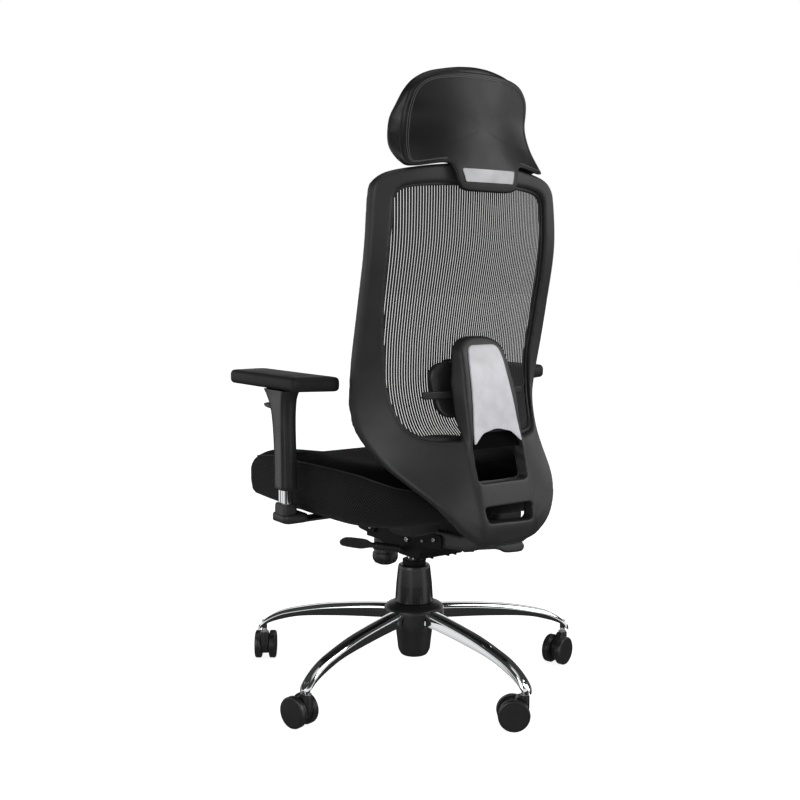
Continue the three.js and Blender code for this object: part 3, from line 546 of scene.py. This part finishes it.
PLATE_IN, PLATE_OUT, PIN_REACH = 57, 61, 58
BACK_PIVOT, SEAT_PIVOT, SHOE_BOLT = (62, 312), (-70, 314), (150, 327)


def build_mechanism():
    profile = [(0, 219.2), (14, 219.6), (23, 224), (27, 231), (27.5, 236), (27.2, 244), (24.6, 247),
               (24, 249), (24, 286), (21.5, 290.6), (6, 290.8), (6, 321), (0, 321)]
    knob = Shape().turned(profile, 96)
    points = np.array(knob.verts)
    angle, radius = np.arctan2(points[:, 1], points[:, 0]), np.hypot(points[:, 0], points[:, 1])
    ribs = (radius > 23.5) * (points[:, 2] > 229) * 0.8 * (1 - np.abs(np.cos(angle * 16)))
    points[:, :2] *= (1 - ribs / np.maximum(radius, 1))[:, None]
    points[:, 1] -= 106
    knob.verts = list(points)
    piece("tension_grip", knob, TRIM, "tension_knob", "tension_knob", "trim_plastic")

    side = rounded([(-130, 330, 6), (-130, 300, 10), (-62, 294, 10), (-40, 286, 8), (10, 285, 6),
                    (22, 274, 6), (90, 274, 8), (100, 286, 8), (100, 330, 6)])
    housing = Shape().slab(side, -56, 56, 3)
    boss = rounded([(14.4, 266, 0), (22, 266, 2), (22, 300, 0), (14.4, 300, 0)], 4)
    housing.turned(boss, 60)
    for x in (-38, -20, 20, 38):
        housing.box((x - 1.5, -118, 284), (x + 1.5, -64, 300), 0.6)
        housing.box((x - 1.5, 26, 272), (x + 1.5, 92, 276), 0.6)
    piece("tilt_housing", housing, BLACK_STEEL, "chassis", "mechanism_housing", "black_steel")

    arms = Shape()
    outline = rounded([(49, 303, 8), (75, 301, 8), (172, 312, 8), (172, 340, 10), (49, 326, 12)])
    side_plates(arms, outline)
    pin(arms, *BACK_PIVOT, 6)
    pin(arms, *SHOE_BOLT, 5)
    piece("recline_arms", arms, BLACK_STEEL, "back", "recline_bracket", "black_steel")

    heads = Shape()
    for sign in (1, -1):
        bolt(heads, sign * PLATE_OUT, *BACK_PIVOT, 5.5, 4, sign)
        bolt(heads, sign * PLATE_OUT, *SHOE_BOLT, 4.5, 3, sign)
        bolt(heads, sign * PLATE_OUT, 112, 318, 3.5, 3, sign)
    piece("recline_bolts", heads, STEEL, "back", None, "steel")

    plan = rounded(rectangle(-84, -150, 84, 70, 14))
    bed = Shape().stack(plan, ((361.7, 1), (362.7, 0), (365.6, 0), (366.6, 1)))
    lug = rounded([(-104, 366, 0), (-82, 303, 8), (-58, 303, 8), (-36, 366, 0)])
    side_plates(bed, lug)
    pin(bed, *SEAT_PIVOT, 5)
    piece("seat_bed", bed, BLACK_STEEL, "seat", "seat_plate", "black_steel")
    heads = Shape()
    for sign in (1, -1):
        bolt(heads, sign * PLATE_OUT, *SEAT_PIVOT, 5, 3.5, sign)
    piece("seat_bolts", heads, STEEL, "seat", None, "steel")


RIB_PITCH = 5.2


def lever_shape(ribs, paddle_from, paddle_to, slope, roll):
    """A rod with a ribbed grip and a flat paddle, leaving the housing along +X."""
    shape = Shape()
    profile = [(0, 3), (4.5, 3), (4.5, 7)]
    for i in range(ribs):
        x = 8 + i * RIB_PITCH
        profile += [(5, x), (7.6, x + 1.2), (8.1, x + 2.1), (7.6, x + 3), (5, x + 4.2)]
    end = 8 + ribs * RIB_PITCH
    profile += [(4.5, end + 1), (4.5, paddle_from), (0, paddle_from)]
    shape.turned(profile, 40, axis="x")
    width = table([(paddle_from - 8, 4.4), (paddle_from + 4, 6.5), (paddle_from + 18, 12),
                   (paddle_from + 38, 12.6), (paddle_to - 14, 11.5), (paddle_to - 5, 9), (paddle_to, 3)])
    thick = table([(paddle_from - 8, 4.4), (paddle_from + 18, 4.4), (paddle_to - 12, 3.8), (paddle_to, 1.6)])
    sides = 28
    turn = np.linspace(0, 2 * math.pi, sides, endpoint=False)
    across, upwards = (np.sign(v) * np.abs(v) ** 0.75 for v in (np.cos(turn), np.sin(turn)))
    stations = [*np.linspace(paddle_from - 8, paddle_to - 12, 22), *np.linspace(paddle_to - 10, paddle_to, 7)]
    rings = []
    for x in stations:
        y, z = turn_pair(across * width(x), upwards * thick(x), roll)
        rings.append(np.column_stack([np.full(sides, x), y, z]))
    shape.loft(rings)
    x, y, z = np.array(shape.verts).T
    x, z = turn_pair(x, z, math.atan(slope))
    shape.verts = list(np.column_stack([x, y, z]))
    return shape


def build_levers():
    tilt = lever_shape(12, 76, 150, 0.25, 0.95)
    tilt.verts = [(x + 56, y + 36, z + 286) for x, y, z in tilt.verts]
    piece("tilt_paddle", tilt, TRIM, "tilt_lever", "tilt_lever", "trim_plastic")
    height = lever_shape(5, 98, 170, -0.1, 1.3)
    height.verts = [(-x - 56, -y + 84, z + 281) for x, y, z in height.verts]
    piece("height_paddle", height, TRIM, "height_lever", "height_lever", "trim_plastic")


# ---- Plates and pads ----
def plate(outline, surface, thickness, radius, centre, flat="xz", crown=0.0):
    """A closed plate or pad. Its face follows surface(u, v), it is thickness deep and its rim is round."""
    rings = []

    def ring(points, depth, lift=0.0):
        u, v = points.T
        height = surface(u, v) + np.zeros(len(u)) + lift - depth
        rings.append(np.column_stack([u, height, v] if flat == "xz" else [u, v, height]))

    core, middle = inset(outline, radius), np.array(centre, float)
    shares = (0.06, 0.25, 0.45, 0.62, 0.77, 0.89, 1.0)
    angles = np.radians([0, 22.5, 45, 67.5, 90])
    for f in shares:
        ring(middle + (core - middle) * f, 0, crown * (1 - f**3))
    for a in angles[1:]:
        ring(inset(outline, radius * (1 - math.sin(a))), radius * (1 - math.cos(a)))
    for a in angles:
        ring(inset(outline, radius * (1 - math.cos(a))), thickness - radius + radius * math.sin(a))
    for f in shares[-2::-1]:
        ring(middle + (core - middle) * f, thickness)
    return Shape().loft(rings)


# ---- Seat ----
SEAT_HALF, SEAT_TAPER, SEAT_FRONT, SEAT_REAR = 253, 17, -290, 222
SEAT_BOTTOM, SEAT_CROWN, SEAT_CORE = 371, 468, 60
seat_middle = table([(SEAT_FRONT, 434), (-262, 444), (-220, 452), (-170, 460), (-120, 466), (-60, SEAT_CROWN),
                     (110, SEAT_CROWN), (160, 462), (200, 448), (SEAT_REAR, 437)])
side_rise = table([(SEAT_FRONT, 16), (-200, 14), (-100, 9), (0, 8), (100, 8), (160, 5), (SEAT_REAR, 0)])


def seat_top(x, y):
    """The seat's upper surface: it rolls down at the front and rear, and its sides are a little higher."""
    near_side = np.clip((np.abs(x) - 110) / 95, 0, 1)
    return seat_middle(y) + side_rise(y) * near_side**2 * (3 - 2 * near_side)


def seat_outline(gap):
    """The seat's plan, a gap inside its widest line."""
    half, front, rear = SEAT_HALF - gap, SEAT_FRONT + gap, SEAT_REAR - gap
    plan = [(-half + 12, front, 50), (half - 12, front, 50), (half, -60, 300), (half - SEAT_TAPER, rear, 150),
            (-half + SEAT_TAPER, rear, 150), (-half, -60, 300)]
    return evenly(through(rounded(plan, 7), 4, closed=True), 176)


def seat_ring(distance, height=None, below=0.0):
    """A ring of the seat, level at a height, or a depth below the upper surface."""
    ring = seat_outline(min(distance, SEAT_CORE))
    if distance > SEAT_CORE:
        centre = np.array([0, -30])
        ring = centre + (ring - centre) * (1 - (distance - SEAT_CORE) / 190)
    heights = np.full(len(ring), height) if height else seat_top(ring[:, 0], ring[:, 1]) - below
    return np.column_stack([ring, heights])


def puff(obj, pressure, cap):
    """Swells a closed mesh like stuffed cloth, moving no point further than cap, in metres."""
    rest = np.array([v.co for v in obj.data.vertices])
    cloth = obj.modifiers.new("cloth", "CLOTH")
    settings = {"quality": 6, "mass": 0.3, "tension_stiffness": 15, "compression_stiffness": 15,
                "bending_stiffness": 4, "use_pressure": True, "uniform_pressure_force": pressure}
    for key, value in settings.items():
        setattr(cloth.settings, key, value)
    cloth.settings.effector_weights.gravity = 0
    cloth.collision_settings.use_collision = False
    for number in range(1, 21):
        bpy.context.scene.frame_set(number)
    evaluated = obj.evaluated_get(bpy.context.evaluated_depsgraph_get())
    moved = np.array([v.co for v in evaluated.data.vertices]) - rest
    obj.modifiers.remove(cloth)
    bpy.context.scene.frame_set(1)
    length = np.linalg.norm(moved, axis=1)[:, None]
    limited = moved * np.tanh(length / cap) * cap / np.maximum(length, 1e-9)
    obj.data.vertices.foreach_set("co", (rest + limited).ravel())
    obj.data.update()


def unroll(obj, rings):
    """A UV map in metres: u runs around each ring and v runs from ring to ring."""
    rings = np.array(rings) * MM
    around = np.linalg.norm(np.roll(rings, -1, axis=1) - rings, axis=2).max(axis=0)
    u = np.concatenate([[0], np.cumsum(around)])
    v = np.concatenate([[0], np.cumsum(np.linalg.norm(np.diff(rings, axis=0), axis=2).mean(axis=1))])
    count = rings.shape[1]
    layer = obj.data.uv_layers.new(name="unrolled")
    for polygon in obj.data.polygons:
        columns = [i % count for i in polygon.vertices]
        wraps = max(columns) - min(columns) > 1
        for loop, vertex in zip(polygon.loop_indices, polygon.vertices):
            column, row = vertex % count, min(vertex // count, len(rings) - 1)
            if wraps and column == 0:
                column = count
            layer.data[loop].uv = (u[column], v[row])


def build_seat():
    side = [seat_ring(d, SEAT_BOTTOM) for d in (245, 190, 130, 80, 45, 26)]
    side += [seat_ring(d, SEAT_BOTTOM + h) for d, h in ((14, 1.5), (5, 6), (1, 13), (0, 22), (-1, 31))]
    side += [seat_ring(d, below=b) for d, b in ((-1, 30), (0.5, 22), (4, 13.5), (10, 7))]
    top = [seat_ring(d, below=b) for d, b in ((13, 5.6), (18, 3.6), (26, 1.4), (38, 0.2), (52, 0))]
    top += [seat_ring(d) for d in (68, 90, 115, 145, 180, 215, 245)]
    rings = side + top
    obj = piece("seat_pad", Shape().loft(rings), SEAT, "seat", "seat_cushion", "seat_fabric", sharp=60)
    count = len(rings[0])
    obj.data.materials.append(SEAT_TOP)
    seam = (len(side) - 1) * count
    for polygon in obj.data.polygons:
        first = obj.data.vertices[polygon.vertices[0]]
        if min(polygon.vertices) >= seam and first.co.z > (SEAT_BOTTOM + 30) * MM:
            polygon.material_index = 1
    unroll(obj, rings)
    puff(obj, 3, 0.004)
    line = np.array([vertex.co for vertex in obj.data.vertices[seam:seam + count]]) - AXIS
    welt = Shape().tube(line / MM + np.array([0, 0, 0.2]), 1.6, closed=True)
    piece("seat_welt", welt, PIPING_DARK, "seat", None, "seat_fabric")
    pan = ((200, 367), (120, 367), (60, 367.1), (58, 368), (31, 370.2), (30, 370.6), (80, 370.7),
           (200, 370.7))
    shell = Shape().loft([seat_ring(d, h) for d, h in pan])
    for side in (1, -1):
        swell = rounded([(68 * side, 112, 12), (150 * side, 112, 20), (140 * side, 182, 24),
                         (68 * side, 182, 12)])
        shell.stack(swell, ((345, 10), (346, 6), (349, 2), (353, 0), (367.5, 0)))
    piece("seat_shell", shell, TRIM, "seat", "seat_pan", "trim_plastic")


# ---- Arms, drawn for the sitter's left and mirrored ----
ARM_X, ARM_Y, PAD_TOP = 291, -17, 644


def oval(width, depth, y, z, corner=6):
    """A level ring around the arm's post."""
    w, d = width / 2, depth / 2
    ring = rounded(rectangle(-w, -d, w, d, corner), 8)
    return np.column_stack([ring[:, 0] + ARM_X, ring[:, 1] + y, np.full(len(ring), z)])


def build_arm(side):
    sign = 1 if side == "left" else -1

    def arm_piece(name, shape, material, body, node, slot, **more):
        shape.verts = [(x * sign, y, z) for x, y, z in shape.verts]
        return piece(f"{side}_{name}", shape, material, body, f"arm_{side}_{node}", slot, **more)

    sleeve_body = f"arm_{side}_sleeve"
    bracket = Shape().box((118, ARM_Y - 20, 360.4), (ARM_X - 10, ARM_Y + 20, 365.4), 1)
    foot = rounded(rectangle(ARM_X - 36, ARM_Y - 31, ARM_X + 17, ARM_Y + 31, 15))
    bracket.stack(foot, ((362, 3), (363, 1), (364.6, 0), (374, 0), (376.6, 0.8), (378, 2.6)))
    collar = [oval(19, 31, ARM_Y, 370, 3), oval(30, 44, ARM_Y, 370, 8), oval(29, 43, ARM_Y, 393, 8),
              oval(28, 42, ARM_Y, 396, 8), oval(25, 39, ARM_Y, 397.6), oval(19, 31, ARM_Y, 397.6, 3)]
    bracket.loft([*collar, collar[0]], caps=False)
    arm_piece("arm_foot", bracket, TRIM, "seat", "bracket", "trim_plastic")
    post = []
    for z, e in ((367, 1), (368, 0), (584, 0), (585, 1)):
        ring = evenly(oval(18 - e, 30 - e, ARM_Y, z, 4), 96)
        away = ring[:, 1] - ARM_Y
        ring[:, 0] -= np.sign(ring[:, 0] - ARM_X) * 1.6 * (np.abs(np.abs(away) - 4.6) < 1.2)
        post.append(ring)
    arm_piece("arm_post", Shape().loft(post), CHROME, "seat", "post", "chrome", sharp=25)

    widths = table([(425, 34), (520, 33), (570, 33), (600, 35), (615, 38)])
    depths = table([(425, 49), (500, 49), (545, 52), (575, 59), (598, 72), (615, 92)])
    middles = table([(425, 0), (500, -0.5), (570, -5), (600, -10), (615, -12)])
    outer = []
    for z in [425.6, 427, *np.linspace(433, 600, 24), *np.linspace(603, 615.4, 6)]:
        rim = 1.4 if z < 426 else 0
        outer.append(oval(widths(z) - rim, depths(z) - rim, ARM_Y + middles(z), z, 16))
    inner = [oval(19, 31, ARM_Y, 590, 3), oval(19, 31, ARM_Y, 425.4, 3), oval(31, 46, ARM_Y, 425.2, 13)]
    arm_piece("arm_sleeve", Shape().loft([*inner, *outer]), SLEEVE, sleeve_body, "sleeve", "trim_plastic")

    side_view = rounded([(ARM_Y - 25.6, 574.5, 2), (ARM_Y - 25.6, 584.6, 1), (ARM_Y - 50, 586.8, 6),
                         (ARM_Y - 58, 587.6, 4), (ARM_Y - 71.5, 585, 4), (ARM_Y - 68, 579, 5),
                         (ARM_Y - 58, 577.5, 5)])
    trigger = Shape().slab(side_view, ARM_X - 7.8, ARM_X + 7.8, 1.5)
    arm_piece("arm_trigger", trigger, TRIM, f"arm_{side}_trigger", "trigger", "trim_plastic")

    plan = evenly(rounded([(224, -220, 26), (311, -213, 16), (309, 50, 18), (222, 84, 16)], 10), 160)
    pad = plate(plan, lambda x, y: PAD_TOP - 0.6, 27.2, 9, (266, -70), flat="xy", crown=1.6)
    pad_obj = arm_piece("arm_pad", pad, RUBBER, f"arm_{side}_pad", "pad", "pad_rubber", sharp=60)


# ---- Back frame ----
BACK_THICKNESS, SIDE_WIDTH = 26, 210
side_face = table([(330, 275), (400, 248), (438, 209), (483, 159), (535, 129), (586, 122), (636, 128),
                   (683, 137), (775, 156), (888, 177), (992, 176), (1044, 172)])
middle_face = table([(330, 296), (376, 303), (414, 297), (454, 286), (540, 262), (588, 238), (643, 207),
                     (700, 193), (783, 196), (903, 212), (990, 219), (1044, 217)])


def back_face(x, z):
    edge = side_face(z)
    return edge + (middle_face(z) - edge) * (1 - (np.abs(x) / SIDE_WIDTH) ** 2.2)


BACK_OUTLINE = [(0, 1036), (70, 1033), (130, 1026), (180, 1016), (204, 1002), (215, 980), (221, 900),
                (222, 800), (222, 700), (220, 636), (217, 586), (210, 536), (190, 484), (163, 446),
                (140, 420), (124, 400), (106, 378), (84, 358), (58, 344), (0, 338)]
WINDOW = [(0, 999), (90, 998), (150, 992), (174, 978), (181, 945), (186, 830), (181, 728), (175, 680),
          (173, 626), (163, 575), (152, 550), (132, 535), (100, 530), (0, 530)]
# Each level of the pillar: height, rear face, half-widths of the rear face and of the foot, depth.
PILLAR = [(726, 200, 48, 52, 26), (690, 221, 52, 57, 29), (640, 238, 57, 66, 36), (595, 250, 63, 81, 38),
          (560, 257, 70, 98, 35), (527, 265, 76, 111, 20), (512, 269, 79, 113, 12), (490, 275, 83, 114, 20),
          (454, 286, 91, 121, 22), (414, 297, 96, 119, 22), (380, 304, 84, 99, 24), (352, 300, 60, 72, 30)]


def band(outer, inner, surface, thickness, radius):
    """A closed band between two outlines whose rear face follows surface(x, z)."""
    rings = []
    for (x0, z0), (x1, z1) in zip(outer, inner):
        width = math.hypot(x1 - x0, z1 - z0)
        r = min(radius, width / 2.2, thickness / 2.2)
        arc = [(r - r * math.sin(a), r - r * math.cos(a)) for a in np.radians([0, 22.5, 45, 67.5, 90])]
        flat = [(t, 0) for t in np.linspace(r, width - r, 8)[1:-1]]
        rear = arc[::-1] + flat + [(width - t, depth) for t, depth in arc]
        front = [(t, thickness - depth) for t, depth in reversed(rear)]
        across, depth = np.array(rear + front).T
        x = x0 + (x1 - x0) * across / width
        z = z0 + (z1 - z0) * across / width
        rings.append(np.column_stack([x, surface(x, z) - depth, z]))
    return Shape().loft([*rings, rings[0]], caps=False)


def pillar_shape():
    """The two spine legs as one tapering wedge with a round top."""
    levels, *columns = zip(*PILLAR)
    readings = [table(zip(levels, column)) for column in columns]
    rings = []
    for height in [*np.linspace(352, 690, 60), *(718 - 28 * np.linspace(1, 0, 14)[1:] ** 2)]:
        rear, face, foot, depth = (reading(height) for reading in readings)
        arch = 67 * max(1 - (max(height - 640, 0) / 78.2) ** 2.7, 0.0001) ** (1 / 2.7)
        foot, face = min(foot, arch), min(face, arch * 0.92)
        half = [(0, rear), (face * 0.5, rear), (face * 0.9, rear - 0.3), (face, rear - 1.2),
                (face + (foot - face) * 0.35, rear - 1.2 - (depth - 6) * 0.3), (foot, rear - depth + 5),
                (foot - 1.5, rear - depth + 1), (foot - 5, rear - depth), (0, rear - depth + 1)]
        full = half + [(-x, y) for x, y in reversed(half) if x > 0]
        rings.append([(x, y, height) for x, y in full])
    return Shape().loft(rings)


def through_back(outline, start, end):
    """A cutter that goes through the back between two depths."""
    return Shape().stack(outline, ((start, 0), (end, 0)), "y")


def melted(name, shapes, cutters, voxel, rounds):
    """Fuses closed shapes, cuts others out and softens every edge, as one moulding."""
    whole = Shape()
    for shape in shapes:
        whole.add(shape.verts, shape.faces)
    obj = raw(name, whole.verts, whole.faces)
    modify(obj, "REMESH", mode="VOXEL", voxel_size=voxel * 1.3)
    for i, cutter in enumerate(cutters):
        tool = raw(f"cutter_{i}", cutter.verts, cutter.faces)
        modify(obj, "BOOLEAN", operation="DIFFERENCE", object=tool, solver="EXACT")
        bpy.data.objects.remove(tool)
    modify(obj, "REMESH", mode="VOXEL", voxel_size=voxel)
    modify(obj, "SMOOTH", factor=0.5, iterations=rounds)
    result = Shape().add([v.co for v in obj.data.vertices], [p.vertices for p in obj.data.polygons])
    bpy.data.objects.remove(obj)
    return result


def build_back():
    outer, window = both_halves(BACK_OUTLINE, 260), both_halves(WINDOW, 260)
    ring = band(outer, window, back_face, BACK_THICKNESS, 6)
    shoe_side = rounded([(108, 308, 6), (152, 311, 20), (238, 319, 40), (286, 334, 40), (303, 362, 30),
                         (304, 392, 0), (278, 392, 0), (272, 370, 20), (240, 349, 30), (108, 345, 6)])
    shoe = Shape().slab(shoe_side, -56, 56, 4)
    arch = rounded(mirrored([(58, 455, 10), (60, 492, 30), (50, 519, 44)]), 12)
    slot = rounded([(-56, 380, 10), (50, 384, 10), (56, 413, 8), (-58, 413, 8)], 8)
    pocket = rounded(mirrored([(56, 480, 4), (60, 512, 30), (52, 548, 46)]), 12)
    voxel = 2.6
    # The exact boolean fails where cutters end in one plane, so each has its own ends.
    cutters = [through_back(pocket, 250, 390), through_back(arch, 140, 400), through_back(slot, 141, 395)]
    frame_shape = melted("frame_work", [ring, pillar_shape(), shoe], cutters, voxel, 5)
    piece("back_moulding", frame_shape, FRAME, "back", "back_frame", "frame_plastic", sharp=180)

    spine = table([level[:2] for level in PILLAR])
    outline = rounded([(-56, 523, 1.5), (-34, 543, 24), (0, 551, 44), (34, 543, 24), (56, 523, 1.5),
                       (50, 575, 80), (40, 676, 20), (34, 703, 26), (-34, 703, 26), (-40, 676, 20),
                       (-50, 575, 80)], 8)
    panel = plate(evenly(outline, 200), lambda x, z: spine(z) + 3.2, 4.2, 1.2, (0, 625))
    piece("spine_cover", panel, SILVER, "back", "spine_panel", "silver_trim", sharp=50)
    # A near-black sheet sunk in the pocket under the spine cover: painted shade standing in for the shadow
    # under the panel.
    outline = rounded(mirrored([(62, 514, 3), (58, 553, 20)]))
    shade_sheet = plate(evenly(outline, 120), lambda x, z: spine(z) - 11, 2.5, 0.8, (0, 533))
    piece("spine_painted_shade", shade_sheet, PAINTED_SHADE, "back", None, "trim_plastic", sharp=50)


# ---- Mesh panel, its bead and the lumbar support ----
MESH_DEPTH, BEAD_WIDTH = 14.5, 5
window_half = table([(z, x) for x, z in WINDOW[3:12]])
mesh_sag = table([(500, 26), (540, 22), (600, 18), (700, 20), (800, 26), (900, 32), (1000, 35)])


def mesh_middle(x, z):
    edge = window_half(np.clip(z, 536, 968))
    return back_face(edge, z) - MESH_DEPTH + mesh_sag(z) * (1 - (x / edge) ** 2)


def build_mesh():
    window = both_halves(WINDOW, 260)
    bead = band(inset(window, -3), inset(window, BEAD_WIDTH), lambda x, z: mesh_middle(x, z) + 4.5, 9, 2)
    piece("mesh_rim", bead, FRAME, "back", "mesh_bead", "frame_plastic", sharp=60)

    hole = inset(window, BEAD_WIDTH - 1)
    pitch, width = 5.2, 4.4
    shape = Shape()
    for x0 in (np.arange(-36, 36) + 0.5) * pitch:
        before, after = hole, np.roll(hole, -1, axis=0)
        crosses = (before[:, 0] - x0) * (after[:, 0] - x0) < 0
        if crosses.sum() < 2:
            continue
        share = (x0 - before[crosses, 0]) / (after[crosses, 0] - before[crosses, 0])
        heights = before[crosses, 1] + share * (after[crosses, 1] - before[crosses, 1])
        stops = np.linspace(heights.min(), heights.max(), 64)
        rings = []
        for z in stops:
            x = x0 + np.array([-0.5, 0, 0.5]) * width
            rings.append(np.column_stack([x, mesh_middle(x, z) + np.array([0, 0.5, 0]), np.full(3, z)]))
        shape.loft(rings, caps=False, closed=False)
    net = piece("back_net", shape, STRIP, "back", "back_mesh", "back_fabric", sharp=180)

    pad_depth = 18
    reach = 8.7 + pad_depth
    outline = evenly(rounded(mirrored([(80, 568, 24), (96, 670, 34)]), 10), 160)
    pad = plate(outline, lambda x, z: mesh_middle(x, z) + reach, pad_depth, 6, (0, 620))
    piece("lumbar_support", pad, TRIM, "lumbar", "lumbar_pad", "trim_plastic", sharp=60)
    outline = evenly(rounded(rectangle(-119, 604, 119, 618, 4)), 200)
    bar = plate(outline, lambda x, z: mesh_middle(x, 604) + reach + 9.8, 8, 2, (0, 611))
    piece("lumbar_beam", bar, TRIM, "lumbar", "lumbar_bar", "trim_plastic", sharp=60)


# ---- Headrest ----
head_middle = table([(970, 236), (1010, 236), (1040, 231), (1075, 221), (1110, 214), (1140, 211), (1170, 209),
                     (1230, 206)])
head_wrap = table([(970, 20), (1010, 24), (1040, 44), (1075, 58), (1115, 62), (1160, 46), (1230, 40)])


def head_face(x, z):
    return head_middle(z) - head_wrap(z) * (np.abs(x) / 165) ** 2


SHELL_OUTLINE = [(0, 1199), (60, 1197), (106, 1188), (131, 1169), (140, 1146), (146, 1105), (156, 1058),
                 (159, 1035), (148, 1024.5), (88, 1032), (75, 1020), (68, 996), (54, 984), (0, 982)]
CUSHION_OUTLINE = [(0, 1214), (75, 1205), (112, 1190), (134, 1164), (146, 1130), (154, 1095), (160, 1058),
                   (153, 1032), (138, 1025.5), (70, 1035.5), (0, 1038)]


def build_headrest():
    shell_line = both_halves(SHELL_OUTLINE, 240)
    shell = plate(shell_line, head_face, 10, 3.5, (0, 1100))
    piece("neck_shell", shell, SHELL, "headrest", "headrest_shell", "head_shell", sharp=60)
    cushion_line = both_halves(CUSHION_OUTLINE, 240)
    cushion = plate(cushion_line, lambda x, z: head_face(x, z) - 12.5, 30, 13, (0, 1125))
    pad = piece("neck_cushion", cushion, LEATHER, "headrest", "headrest_cushion", "head_leather", sharp=180)
    puff(pad, 3, 0.004)
    line = inset(shell_line, 7)
    keep = line[(line[:, 1] > 1048) | (np.abs(line[:, 0]) > 86)]
    steps = np.linalg.norm(np.roll(keep, -1, axis=0) - keep, axis=1)
    order = np.roll(keep, -np.argmax(steps) - 1, axis=0)
    seams = Shape()
    inwards = np.array([0, 1110]) - order
    inwards /= np.linalg.norm(inwards, axis=1)[:, None]
    for gap in (0, 3.2):
        x, z = (order + inwards * gap).T
        seams.tube(np.column_stack([x, head_face(x, z) + 0.3, z]), 0.75, 8)
    piece("neck_seam", seams, PIPING, "headrest", None, "head_shell")
    outline = evenly(rounded(mirrored([(54, 999, 3), (61, 1023, 3)])), 160)
    badge = plate(outline, lambda x, z: head_face(x, z) + 2.6, 3, 0.8, (0, 1011))
    piece("neck_badge", badge, BADGE, "headrest", "headrest_badge", "silver_trim", sharp=50)


build_legs()
build_hub()
build_casters()
build_mechanism()
build_levers()
build_seat()
build_arm("left")
build_arm("right")
build_back()
build_mesh()
build_headrest()
for hidden, material in (("base_hub_tube", BLACK_STEEL), ("piston_rod", STEEL)):
    finish_mesh(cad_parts[hidden], material)

# ---- Studio ----


def studio_world():
    """White at the horizon, dark above and below it for contrast in the chrome, with upright light boxes."""
    world = bpy.data.worlds.new("studio")
    bpy.context.scene.world = world
    world.use_nodes = True
    tree = world.node_tree

    def grey_levels(value, levels):
        """Grey levels at positions from 0 to 1 of a value."""
        node = add_node(tree, "ValToRGB", {"Fac": value})
        elements = node.color_ramp.elements
        for position, level in levels[1:-1]:
            elements.new(position).color = (level, level, level, 1)
        for element, (position, level) in ((elements[0], levels[0]), (elements[-1], levels[-1])):
            element.position = position
            element.color = (level, level, level, 1)
        return node.outputs["Color"]

    sky = [(0, 0.02), (0.3, 0.025), (0.44, 0.03), (0.488, 0.06), (0.492, 1), (0.62, 1), (0.66, 0.05),
           (0.93, 0.05), (0.97, 1)]
    boxes = [(0, 0), (0.3, 0), (0.32, 0.9), (0.38, 0.9), (0.4, 0), (0.57, 0), (0.58, 0.7), (0.61, 0.7),
             (0.62, 0), (0.8, 0), (0.82, 0.9), (0.88, 0.9), (0.9, 0), (1, 0)]
    reach_down = [(0, 0), (0.3, 0), (0.38, 1), (0.487, 1), (0.49, 0), (1, 0)]
    direction = add_node(tree, "TexCoord").outputs["Generated"]
    up = add_node(tree, "SeparateXYZ", {0: direction}).outputs["Z"]
    height = add_node(tree, "MapRange", {"Value": up, "From Min": -1.0}).outputs[0]
    around = add_node(tree, "TexGradient", {0: direction}, gradient_type="RADIAL").outputs["Fac"]
    factors = {0: grey_levels(around, boxes), 1: grey_levels(height, reach_down), 2: grey_levels(height, sky)}
    total = add_node(tree, "Math", factors, operation="MULTIPLY_ADD").outputs[0]
    tree.links.new(total, tree.nodes["Background"].inputs["Color"])


def studio():
    """The world, the floor, two soft lights and the camera."""
    scene = bpy.context.scene
    scene.view_settings.view_transform = "Standard"
    studio_world()
    floor_mesh = bpy.data.meshes.new("floor")
    reach = 60
    edges = [(-reach, -reach, 0), (reach, -reach, 0), (reach, reach, 0), (-reach, reach, 0)]
    floor_mesh.from_pydata(edges, [], [(0, 1, 2, 3)])
    floor = bpy.data.objects.new("floor", floor_mesh)
    scene.collection.objects.link(floor)
    white = Look("floor", (0.85, 0.85, 0.85), 0.8, Emission_Color=(1, 1, 1, 1), Emission_Strength=0.84)
    floor.data.materials.append(white.material)
    floor.visible_glossy = False

    for name, place, aim, power in (("key", (-2.2, 2.6, 2.6), (0, 0, 0.7), 60),
                                    ("fill", (3.2, 1.2, 1.8), (0, 0, 0.6), 30)):
        light = bpy.data.lights.new(name, "AREA")
        light.size = 2
        light.energy = power
        lamp = bpy.data.objects.new(name, light)
        lamp.location = place
        lamp.rotation_euler = (Vector(aim) - Vector(place)).to_track_quat("-Z", "Y").to_euler()
        scene.collection.objects.link(lamp)

    camera_data = bpy.data.cameras.new("camera")
    camera_data.sensor_width = 36
    camera_data.lens = 50.85
    camera_data.clip_end = 100
    camera = bpy.data.objects.new("camera", camera_data)
    camera.location = (1.3354 + AXIS[0], 1.8562 + AXIS[1], 0.818)
    camera.rotation_euler = (math.radians(90 - 5.93), 0, math.radians(145))
    scene.collection.objects.link(camera)
    scene.camera = camera


studio()
